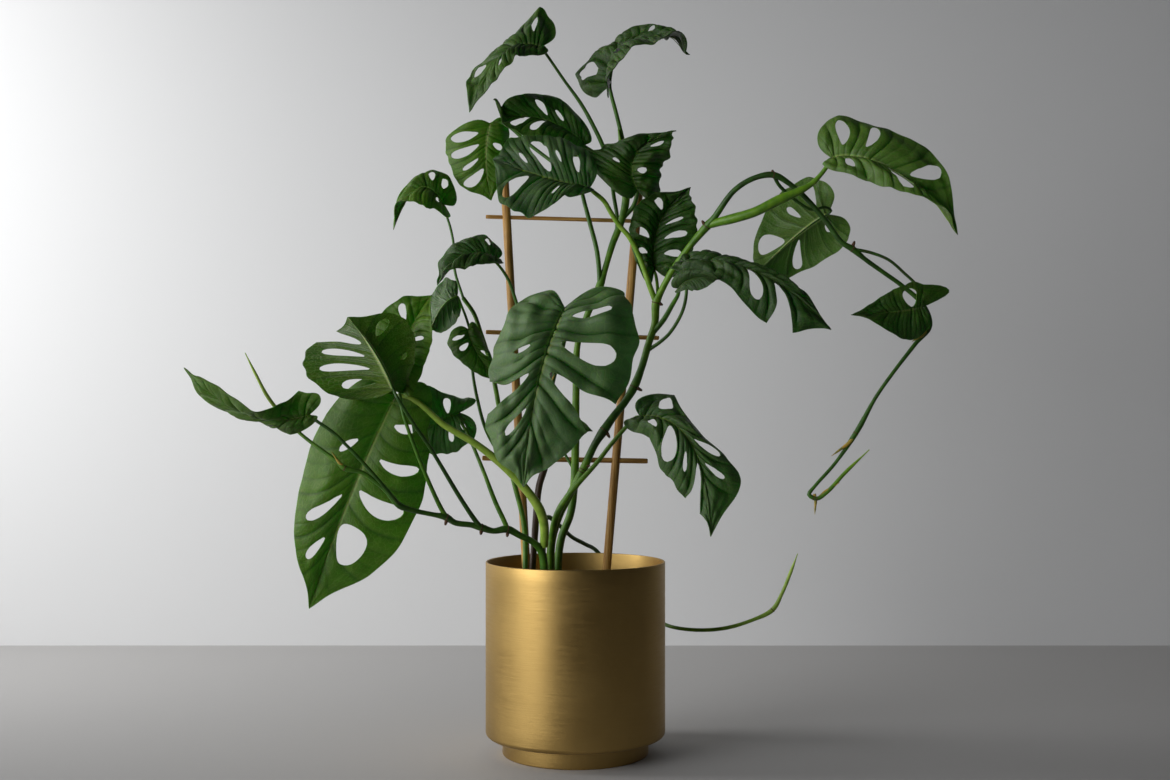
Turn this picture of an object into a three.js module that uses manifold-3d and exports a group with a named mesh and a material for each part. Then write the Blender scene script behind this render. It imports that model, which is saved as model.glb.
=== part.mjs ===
// Monstera adansonii climbing a small bamboo ladder in a round brass pot.
// Millimetres, +Z up. The origin is the centre of the pot's foot, on the surface it stands on.
// The plant's front faces -Y, and +X is to the right as seen from there.
import * as THREE from 'three';
import { mergeVertices } from 'three/addons/utils/BufferGeometryUtils.js';
import Module from 'manifold-3d';

const wasm = await Module();
wasm.setup();

// ---------- Driving dimensions ----------
const POT_RADIUS = 75;
const POT_HEIGHT = 160;
const POT_WALL = 1.5;
const POT_CORNER = 4; // rounding where the body turns in to the foot
const FOOT_RADIUS = 61;
const FOOT_HEIGHT = 15;
const POT_SIDES = 36;

const SOIL_TOP = 132;
const SOIL_FLOOR = 20;
const STEM_END = 112; // how far down the stems and canes stand in the soil
const GAP = 0.3; // clearance between pieces that touch

const CANE_RADIUS = 3.6;
const CANE_DEPTH = 14; // how far behind the pot's axis the ladder stands
const CANE_SIDES = 8;

const BLADE = 0.7; // leaf thickness
const STEM_SIDES = 6;
const PETIOLE_SIDES = 5;

// Every place in the plant is [across, up, depth]: where it shows in the front elevation, drawn on the
// plane of the pot's axis as an eye at EYE sees it, and how far behind that plane it lies.
const EYE = new THREE.Vector3(8, -1130, 272);

function place([across, up, depth]) {
  const reach = (depth - EYE.y) / -EYE.y;
  return new THREE.Vector3(EYE.x + (across - EYE.x) * reach, depth, EYE.z + (up - EYE.z) * reach);
}

// ---------- Materials ----------
function finish(color, roughness, metalness = 0) {
  return new THREE.MeshStandardMaterial({ color, roughness, metalness });
}

const FINISHES = {
  brass: () => finish(0xb8944a, 0.35, 1),
  soil: () => finish(0x33261c, 0.95),
  bamboo: () => finish(0xb08a58, 0.6),
  stem: () => finish(0x5f8a3c, 0.5),
  leaf: () => finish(0x3f6b35, 0.4),
};

// ---------- Solids ----------
// Joins and cuts work on plain closed meshes of positions alone.
function solidOf(geometry) {
  const bare = geometry.index ? geometry.toNonIndexed() : geometry.clone();
  bare.deleteAttribute('normal');
  bare.deleteAttribute('uv');
  const merged = mergeVertices(bare, 1e-4);
  const mesh = new wasm.Mesh({
    numProp: 3,
    vertProperties: new Float32Array(merged.attributes.position.array),
    triVerts: new Uint32Array(merged.index.array),
  });
  return new wasm.Manifold(mesh);
}

function geometryOf(solid) {
  const { vertProperties, triVerts } = solid.getMesh();
  const geometry = new THREE.BufferGeometry();
  geometry.setAttribute('position', new THREE.BufferAttribute(vertProperties, 3));
  geometry.setIndex(new THREE.BufferAttribute(triVerts, 1));
  geometry.computeVertexNormals();
  return geometry;
}

function geometryFrom(points, faces) {
  const geometry = new THREE.BufferGeometry();
  const numbers = points.flatMap((p) => [p.x, p.y, p.z]);
  geometry.setAttribute('position', new THREE.Float32BufferAttribute(numbers, 3));
  geometry.setIndex(faces.flat());
  return geometry;
}

// A round tube of varying radius along a smooth curve, closed at both ends.
// Each stop is { at: Vector3, radius }, and steps is the number of rings after the first.
function sweep(stops, sides, steps, swell = 0) {
  const curve = new THREE.CatmullRomCurve3(stops.map((stop) => stop.at), false, 'centripetal');
  const frames = curve.computeFrenetFrames(steps, false);
  const points = [];
  const faces = [];
  for (let ring = 0; ring <= steps; ring += 1) {
    const along = curve.getUtoTmapping(ring / steps);
    const centre = curve.getPoint(along);
    const between = along * (stops.length - 1);
    const before = Math.min(Math.floor(between), stops.length - 2);
    const radius = swell + THREE.MathUtils.lerp(
      stops[before].radius, stops[before + 1].radius, between - before);
    for (let side = 0; side < sides; side += 1) {
      const angle = (side / sides) * 2 * Math.PI;
      points.push(centre.clone()
        .addScaledVector(frames.normals[ring], radius * Math.cos(angle))
        .addScaledVector(frames.binormals[ring], radius * Math.sin(angle)));
    }
  }
  for (let ring = 0; ring < steps; ring += 1) {
    for (let side = 0; side < sides; side += 1) {
      const a = ring * sides + side;
      const b = ring * sides + ((side + 1) % sides);
      faces.push([a, b, b + sides], [a, b + sides, a + sides]);
    }
  }
  const last = steps * sides;
  for (let side = 1; side < sides - 1; side += 1) {
    faces.push([0, side + 1, side], [last, last + side, last + side + 1]);
  }
  return geometryFrom(points, faces);
}

// ---------- Pot, soil and ladder ----------
function arc(x, z, radius, from, to, pieces) {
  const points = [];
  for (let i = 0; i <= pieces; i += 1) {
    const angle = THREE.MathUtils.degToRad(from + ((to - from) * i) / pieces);
    points.push(new THREE.Vector2(x + radius * Math.cos(angle), z + radius * Math.sin(angle)));
  }
  return points;
}

// LatheGeometry turns about Y, so every lathed piece is stood up to turn about Z.
function lathe(profile, sides) {
  return new THREE.LatheGeometry(profile, sides).rotateX(Math.PI / 2);
}

function potGeometry() {
  const point = (x, z) => new THREE.Vector2(x, z);
  const inside = POT_RADIUS - POT_WALL;
  const profile = [
    point(0, 0),
    point(FOOT_RADIUS - 1, 0),
    point(FOOT_RADIUS, 1),
    point(FOOT_RADIUS, FOOT_HEIGHT),
    ...arc(POT_RADIUS - POT_CORNER, FOOT_HEIGHT + POT_CORNER, POT_CORNER, -90, 0, 3),
    point(POT_RADIUS, POT_HEIGHT - 0.4),
    point(POT_RADIUS - 0.4, POT_HEIGHT),
    point(inside + 0.4, POT_HEIGHT),
    point(inside, POT_HEIGHT - 0.4),
    point(inside, FOOT_HEIGHT + POT_CORNER),
    point(inside - POT_CORNER + POT_WALL, FOOT_HEIGHT + POT_WALL),
    point(FOOT_RADIUS - POT_WALL, FOOT_HEIGHT + POT_WALL),
    point(FOOT_RADIUS - POT_WALL, POT_WALL),
    point(0, POT_WALL),
  ];
  return lathe(profile, POT_SIDES);
}

// The filling, with a plain hole for each stem and cane that stands in it.
function soilGeometry(standing) {
  const edge = POT_RADIUS - POT_WALL - GAP;
  const profile = [
    new THREE.Vector2(0, SOIL_FLOOR),
    new THREE.Vector2(edge - POT_CORNER, SOIL_FLOOR),
    new THREE.Vector2(edge, SOIL_FLOOR + POT_CORNER),
    new THREE.Vector2(edge, SOIL_TOP - 3),
    new THREE.Vector2(edge * 0.7, SOIL_TOP),
    new THREE.Vector2(0, SOIL_TOP),
  ];
  let soil = solidOf(lathe(profile, POT_SIDES));
  for (const piece of standing) {
    soil = soil.subtract(piece);
  }
  return geometryOf(soil);
}

const CANES = {
  cane_left: { top: [-60.5, 500, CANE_DEPTH], foot: [-41, 152, CANE_DEPTH] },
  cane_right: { top: [53, 468, CANE_DEPTH], foot: [26, 152, CANE_DEPTH] },
};
const RUNGS = {
  rung_top: { ends: [[-75, 448, CANE_DEPTH], [62, 444, CANE_DEPTH]], radius: 1.7 },
  rung_middle: { ends: [[-75, 351.5, CANE_DEPTH], [70, 346.5, CANE_DEPTH]], radius: 1.9 },
  rung_bottom: { ends: [[-78, 246, CANE_DEPTH], [60.5, 243.5, CANE_DEPTH]], radius: 2.2 },
};

// A straight rod; its radius can grow by swell to make the hole that it goes through.
function rod(from, to, radius, sides) {
  const stops = [{ at: from, radius }, { at: to, radius }];
  return sweep(stops, sides, 1);
}

function caneEnds({ top, foot }) {
  const upper = place(top);
  const lower = place(foot);
  const down = lower.clone().sub(upper).normalize();
  const length = (STEM_END - upper.z) / down.z;
  return [upper, upper.clone().addScaledVector(down, length)];
}

function canePiece(name, swell = 0) {
  const [upper, lower] = caneEnds(CANES[name]);
  if (swell) {
    lower.z -= swell;
  }
  return solidOf(rod(upper, lower, CANE_RADIUS + swell, CANE_SIDES));
}

function rungPiece(name, swell = 0) {
  const { ends, radius } = RUNGS[name];
  return solidOf(rod(place(ends[0]), place(ends[1]), radius + swell, CANE_SIDES));
}

// ---------- Stems ----------
// route: [across, up, depth, radius]; nubs: short buds, bracts and aerial roots fused to the stem,
// each from a place inside it to a free tip, with the radius at its root.
const STEMS = {
  vine_creeping: {
    route: [
      [-26, 100, -24, 3], [-26, 130, -24, 3], [-26.5, 158, -24, 3.4], [-29, 169, -26, 3.2],
      [-36, 176, -29, 2.6], [-47, 181.5, -33, 2.6], [-57, 186.5, -37, 3.2], [-69, 185, -41, 2.4],
      [-79, 188, -45, 3.1], [-87, 190, -48, 2.4], [-101, 192, -53, 2.3], [-108, 196.5, -56, 2.9],
      [-118, 198.5, -60, 2], [-137, 202.5, -68, 2], [-147, 206, -72, 2.6], [-160, 220, -76, 1.8],
      [-179, 234, -80, 1.7], [-193, 237.5, -82, 2.3], [-200, 243.5, -82, 1.6], [-232, 268, -78, 1.4],
      [-256, 295, -76, 1.5], [-267, 315, -76, 1.2], [-276.5, 334, -76, 0.4],
    ],
    nubs: [
      { root: [-57, 186, -37], tip: [-58, 178.5, -38], radius: 1.5 },
      { root: [-79, 187, -45], tip: [-80, 180.5, -46], radius: 1.5 },
      { root: [-108, 195.5, -56], tip: [-110, 188.5, -57], radius: 1.4 },
      { root: [-193, 238, -82], tip: [-203, 252, -86], radius: 1.3 },
    ],
  },
  vine_main: {
    route: [
      [-20, 100, -13, 3.2], [-20.5, 150, -13, 3.4], [-20, 175, -14, 3.4], [-14, 197, -15, 3.3],
      [-6, 213, -16, 3.2], [4.5, 232, -17, 3.6], [16, 257, -17, 3.2], [24, 269.5, -17, 3.9],
      [32, 281, -16, 3.2], [41.5, 293, -15, 3.1], [49, 305.5, -14, 3.7], [55.5, 322, -14, 3],
      [61, 341, -15, 3], [66.5, 359, -16, 3], [67.5, 376, -17, 3.6], [71, 384, -18, 2.8],
      [80, 401, -21, 2.7], [96, 423.5, -28, 2.7], [110, 440, -34, 3.5], [116, 447, -38, 2.6],
      [133, 470, -46, 2.3], [150, 480.5, -50, 2.2], [166, 483, -52, 2.6], [180, 475, -50, 2.1],
      [192, 464.5, -48, 2.1], [209, 445, -46, 2.1], [223, 426.5, -46, 2.1], [232, 421, -46, 2.6],
      [243, 412, -44, 1.9], [257, 402, -42, 1.8], [275, 389, -40, 1.8], [291, 374, -42, 2.1],
      [296, 357, -46, 2.6], [284, 341, -48, 1.7], [267, 319, -50, 1.5], [251.5, 297, -50, 1.5],
      [236, 269, -50, 2.2], [218, 242.5, -50, 1.4], [200, 222, -50, 1.4], [195.5, 215.5, -50, 1.7],
      [202, 212, -51, 1.7], [210.5, 217.5, -52, 1.7], [226, 234, -53, 1.5], [246, 253, -54, 0.4],
    ],
    nubs: [
      { root: [24, 269, -17], tip: [29, 261, -20], radius: 1.6 },
      { root: [49, 305, -14], tip: [57, 301, -18], radius: 1.6 },
      { root: [5, 234, -17], tip: [0, 224, -21], radius: 1.2 },
      { root: [6, 238, -17], tip: [14, 239, -22], radius: 1.2 },
      { root: [67.5, 376, -17], tip: [74, 373, -20], radius: 1.6 },
      { root: [110, 440, -34], tip: [105.5, 446.5, -36], radius: 1.5 },
      { root: [166, 483, -52], tip: [165, 488.5, -53], radius: 1.3 },
      { root: [232, 421, -46], tip: [235, 429, -48], radius: 1.4 },
      { root: [294, 353, -47], tip: [281, 345, -55], radius: 1.7 },
      { root: [235, 266, -50], tip: [213, 249.5, -53], radius: 1.6 },
      { root: [200, 216, -50], tip: [199, 199, -50], radius: 1.3 },
      { root: [203, 212, -51], tip: [222, 224, -54], radius: 1.2 },
    ],
  },
  stem_central: {
    route: [
      [-15, 100, 0, 3.4], [-15, 150, 0, 3.4], [-12, 178, 0, 3.3], [-4, 200, 0, 3.3],
      [-1, 225, 0, 3.4], [0, 258, 0, 3.4], [0.5, 300, 0, 3.1], [2, 342, 0, 2.7],
      [10, 366, 0, 2.7], [20, 389, 0, 3.5], [25, 405, 1, 2.6], [31, 425, 2, 2.8],
      [38, 443, 2, 3.1], [42, 460, 2, 3.4], [42, 484, 2, 3], [39, 503, 1, 2.3], [36, 521, 0, 0.8],
    ],
    nubs: [],
  },
  stem_left: {
    route: [
      [-36, 100, -7, 2.7], [-36, 150, -7, 2.7], [-34, 181, -7, 2.8], [-33, 196, -7, 2.8],
      [-30.5, 222, -7, 2.9], [-25, 242, -7, 3], [-24, 284, -8, 2.9], [-21, 300, -8, 3.2],
      [-19, 322, -9, 2.4],
    ],
    nubs: [{ root: [-22, 300, -8], tip: [-15, 318, -14], radius: 1.2 }],
  },
  vine_left: {
    route: [
      [-42, 100, -17, 2.2], [-42, 150, -17, 2.2], [-43, 190, -12, 2.2], [-52, 228, -8, 2.1],
      [-60, 262, -6, 2], [-66, 300, -6, 2], [-72, 328, -2, 1.9], [-79, 350, 1, 1.9],
      [-85, 367, 3, 1.8], [-94, 380, 5, 1.8],
    ],
    nubs: [],
  },
  shoot_trailing: {
    route: [
      [-27, 100, 6, 2], [-27, 150, 6, 2], [-24, 196, 8, 2], [-14, 190, 22, 1.9],
      [-3, 180, 44, 1.8], [8, 174, 62, 1.8], [18, 168, 80, 1.8], [35, 144, 92, 1.7],
      [54, 118, 92, 1.7], [72, 108, 84, 1.7], [84, 104, 72, 1.7], [106, 102, 60, 1.7],
      [127, 104, 52, 1.7], [147, 110, 48, 1.6], [165, 119, 46, 2.1], [173, 133, 45, 1.6],
      [180, 150, 44, 1.5], [186, 166, 43, 0.4],
    ],
    nubs: [{ root: [165, 119, 46], tip: [158, 114, 46], radius: 1.3 }],
  },
};
const STEM_STEP = 12; // mm of stem between rings

function stemStops(route) {
  return route.map(([across, up, depth, radius]) => ({ at: place([across, up, depth]), radius }));
}

function routeLength(stops) {
  const gaps = stops.slice(1).map((stop, i) => stop.at.distanceTo(stops[i].at));
  return gaps.reduce((sum, gap) => sum + gap, 0);
}

function stemSolid({ route, nubs }, swell = 0) {
  const stops = stemStops(route);
  if (stops[0].at.z < SOIL_TOP) {
    stops[0].at.z = STEM_END - swell;
  }
  const steps = Math.round(routeLength(stops) / STEM_STEP);
  let solid = solidOf(sweep(stops, STEM_SIDES, steps, swell));
  for (const nub of nubs) {
    const root = place(nub.root);
    const tip = place(nub.tip);
    const stopsOfNub = [
      { at: root, radius: nub.radius },
      { at: root.clone().lerp(tip, 0.5), radius: nub.radius * 0.8 },
      { at: tip, radius: nub.radius * 0.25 },
    ];
    solid = solid.add(solidOf(sweep(stopsOfNub, 5, 2, swell)));
  }
  return solid;
}

// ---------- Leaves ----------
// A leaf is drawn flat first. Along it, 0 is the end of the petiole and 1 the drip tip; across it, 1 is the
// widest place of a half. OUTLINE is one half's margin, round the lobe beside the petiole to the tip.
const OUTLINE = [
  [0, 0], [0.3, -0.085], [0.68, -0.045], [0.93, 0.1], [1, 0.27],
  [0.94, 0.46], [0.74, 0.66], [0.44, 0.83], [0.14, 0.945], [0, 1],
];
// The side veins split each half into cells. Each vein leaves the midrib at ROOTS and meets the margin at
// the share ENDS of the outline.
const ROOTS = [0, 0.03, 0.17, 0.34, 0.52, 0.72, 1];
const ENDS = [0, 0.27, 0.44, 0.56, 0.68, 0.81, 1];
const CELLS = ROOTS.length - 1;
const VEIN_BOW = 0.05; // how far a side vein bows towards the tip
const STATIONS = [0.2, 0.45, 0.75]; // where along the midrib a leaf's side points stand
const SIDES_FROM = 0.05; // before and after these the sides keep their direction
const SIDES_TO = 0.9;
const HOLE_SIDES = 8;

const margin = new THREE.SplineCurve(OUTLINE.map(([x, y]) => new THREE.Vector2(x, y)));

function steady(list, at) {
  const cell = Math.min(Math.floor(at), CELLS - 1);
  return THREE.MathUtils.lerp(list[cell], list[cell + 1], at - cell);
}

// Flat place of a point: cell counts side veins from the petiole, out runs from midrib to margin.
function flat(cell, out) {
  const root = steady(ROOTS, cell);
  const end = margin.getPoint(steady(ENDS, cell));
  const bow = VEIN_BOW * Math.sin(Math.PI * out) * Math.sin((Math.PI * cell) / CELLS);
  return { across: end.x * out, along: THREE.MathUtils.lerp(root, end.y, out) + bow };
}

function halfWidthAt(along) {
  const above = OUTLINE.findIndex(([, y], i) => i > 2 && y >= along);
  const [low, high] = [OUTLINE[above - 1], OUTLINE[above]];
  return THREE.MathUtils.mapLinear(along, low[1], high[1], low[0], high[0]);
}

// The parabola through three values at three stations.
function blend(stations, values, at) {
  const sum = new THREE.Vector3();
  values.forEach((value, i) => {
    const others = stations.filter((_, j) => j !== i);
    const share = others.reduce((part, other) => (part * (at - other)) / (stations[i] - other), 1);
    sum.addScaledVector(value, share);
  });
  return sum;
}

// A leaf in space: its midrib passes through three points, and each half's margin passes through
// three more, at the stations. Left and right are as seen on the upper face, tip up.
class Blade {
  constructor({ midrib, left, right, camber = 5, lobes = [1, 1], wave = 0, sweep = [[0, 0], [0, 0]] }) {
    this.midrib = midrib.map(place);
    this.camber = camber;
    this.lobes = lobes;
    this.wave = wave;
    this.sweep = sweep; // for each half: the cell whose margin is drawn out to the tip, and how far
    this.sides = [left, right].map((points) => points.map((point, i) => (
      place(point).sub(this.rib(STATIONS[i])).divideScalar(halfWidthAt(STATIONS[i])))));
  }

  // Behind its base the midrib runs straight on.
  rib(along) {
    const point = blend([0, 0.5, 1], this.midrib, Math.max(along, 0));
    const step = 0.01;
    const start = blend([0, 0.5, 1], this.midrib, step).sub(this.midrib[0]).divideScalar(step);
    return point.addScaledVector(start, Math.min(along, 0));
  }

  sideVector(half, along) {
    return blend(STATIONS, this.sides[half], THREE.MathUtils.clamp(along, SIDES_FROM, SIDES_TO));
  }

  up(along) {
    const ahead = this.rib(along + 0.02).sub(this.rib(along - 0.02));
    const across = this.sideVector(1, along).sub(this.sideVector(0, along));
    return across.cross(ahead).normalize();
  }

  // The plane that one half lies in, beside a place on the midrib.
  planeOf(half, along) {
    const ahead = this.rib(along + 0.02).sub(this.rib(along - 0.02)).normalize();
    const across = this.sideVector(half, along).multiplyScalar(half ? 1 : -1);
    const up = across.cross(ahead).normalize();
    return { right: ahead.clone().cross(up), ahead };
  }

  // half: 0 left, 1 right
  point(half, cell, out) {
    const { across, along } = flat(cell, out);
    const lobed = along < 0 ? along * this.lobes[half] : along;
    const [sweptCell, amount] = this.sweep[half];
    const swept = amount * Math.exp(-(((cell - sweptCell) / 0.8) ** 2)) * out * out;
    const ripple = this.wave * Math.sin(cell * Math.PI + half) * out * out;
    return this.rib(lobed + swept)
      .addScaledVector(this.sideVector(half, along), across)
      .addScaledVector(this.up(along), this.camber * 4 * across * (1 - across) + ripple);
  }
}

// hole: [cell, from, to, width]: between which side veins, its reach from midrib to margin, and its
// share of the cell. A reach past 1 cuts through the margin.
function holeLoop([cell, from, to, width]) {
  const loop = [];
  for (let i = 0; i < HOLE_SIDES; i += 1) {
    const angle = ((i + 0.5) / HOLE_SIDES) * 2 * Math.PI;
    const reach = (from + to) / 2 - ((to - from) / 2) * Math.cos(angle) * 1.05;
    loop.push([cell + 0.5 + (width / 2) * Math.sin(angle) * 1.08, reach]);
  }
  return loop;
}

// Outline of a cell as [cell, out] places. An open hole becomes a notch in its margin side.
function cellLoop(cell, open) {
  const loop = [[cell, 0], [cell, 0.5], [cell, 1]];
  if (open) {
    const [, from, , width] = open;
    const middle = cell + 0.5;
    const deep = from * 0.6 + 0.4;
    loop.push([middle - width / 2, 1], [middle - width / 2, deep], [middle - width / 5, from]);
    loop.push([middle + width / 5, from], [middle + width / 2, deep], [middle + width / 2, 1]);
  } else {
    loop.push([cell + 0.5, 1]);
  }
  loop.push([cell + 1, 1], [cell + 1, 0.5], [cell + 1, 0]);
  return loop;
}

// The blade's middle surface: points and triangles, alike for its two faces. Each cell is split up in
// the plane that it lies in, where its holes stay inside its outline.
function bladeSheet(blade, holes) {
  const points = [];
  const found = new Map();
  const faces = [];
  const vertex = (half, [cell, out]) => {
    const at = blade.point(half, cell, out);
    const key = [at.x, at.y, at.z].map((value) => value.toFixed(2)).join();
    if (!found.has(key)) {
      found.set(key, points.length);
      points.push(at);
    }
    return found.get(key);
  };
  for (const half of [0, 1]) {
    for (let cell = 0; cell < CELLS; cell += 1) {
      const hole = holes[half].find(([where]) => where === cell);
      const open = hole && hole[2] > 1;
      let contour = cellLoop(cell, open ? hole : null);
      if (cell === 0) {
        contour = contour.slice(2);
      }
      if (cell === CELLS - 1) {
        contour = contour.slice(0, -2);
      }
      const inner = hole && !open ? [holeLoop(hole)] : [];
      const { right, ahead } = blade.planeOf(half, flat(cell + 0.5, 0.5).along);
      const toFlat = (spot) => {
        const at = blade.point(half, ...spot);
        return new THREE.Vector2(at.dot(right), at.dot(ahead));
      };
      const triangles = THREE.ShapeUtils.triangulateShape(
        contour.map(toFlat), inner.map((loop) => loop.map(toFlat)));
      const all = [...contour, ...inner.flat()].map((spot) => vertex(half, spot));
      for (const [a, b, c] of triangles) {
        const face = [all[a], all[b], all[c]];
        if (new Set(face).size === 3) {
          faces.push(face);
        }
      }
    }
  }
  return { points, faces };
}

// Gives the sheet its thickness, with walls along every free edge.
function thicken({ points, faces }) {
  const normals = points.map(() => new THREE.Vector3());
  for (const [a, b, c] of faces) {
    const area = points[b].clone().sub(points[a]).cross(points[c].clone().sub(points[a]));
    for (const corner of [a, b, c]) {
      normals[corner].add(area);
    }
  }
  const count = points.length;
  const both = [1, -1].flatMap((face) => points.map((point, i) => (
    point.clone().addScaledVector(normals[i].clone().normalize(), (face * BLADE) / 2))));
  const edges = new Set(faces.flatMap(([a, b, c]) => [`${a},${b}`, `${b},${c}`, `${c},${a}`]));
  const walls = [];
  for (const edge of edges) {
    const [a, b] = edge.split(',').map(Number);
    if (!edges.has(`${b},${a}`)) {
      walls.push([b, a, a + count], [b, a + count, b + count]);
    }
  }
  const under = faces.map(([a, b, c]) => [a + count, c + count, b + count]);
  return geometryFrom(both, [...faces, ...under, ...walls]);
}

// The petiole runs on under the first part of the midrib, so that blade and petiole are one body.
function petioleSolid(blade, route) {
  const stops = stemStops(route);
  const thin = stops[0].radius;
  const keel = [0.1, 0].map((along) => ({
    at: blade.rib(along).addScaledVector(blade.up(along), -0.4 * thin),
    radius: along ? thin * 0.55 : thin * 0.85,
  }));
  const all = [...keel, ...stops];
  const steps = Math.max(4, Math.round(routeLength(all) / (STEM_STEP * 1.3)));
  return solidOf(sweep(all, PETIOLE_SIDES, steps));
}

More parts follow.
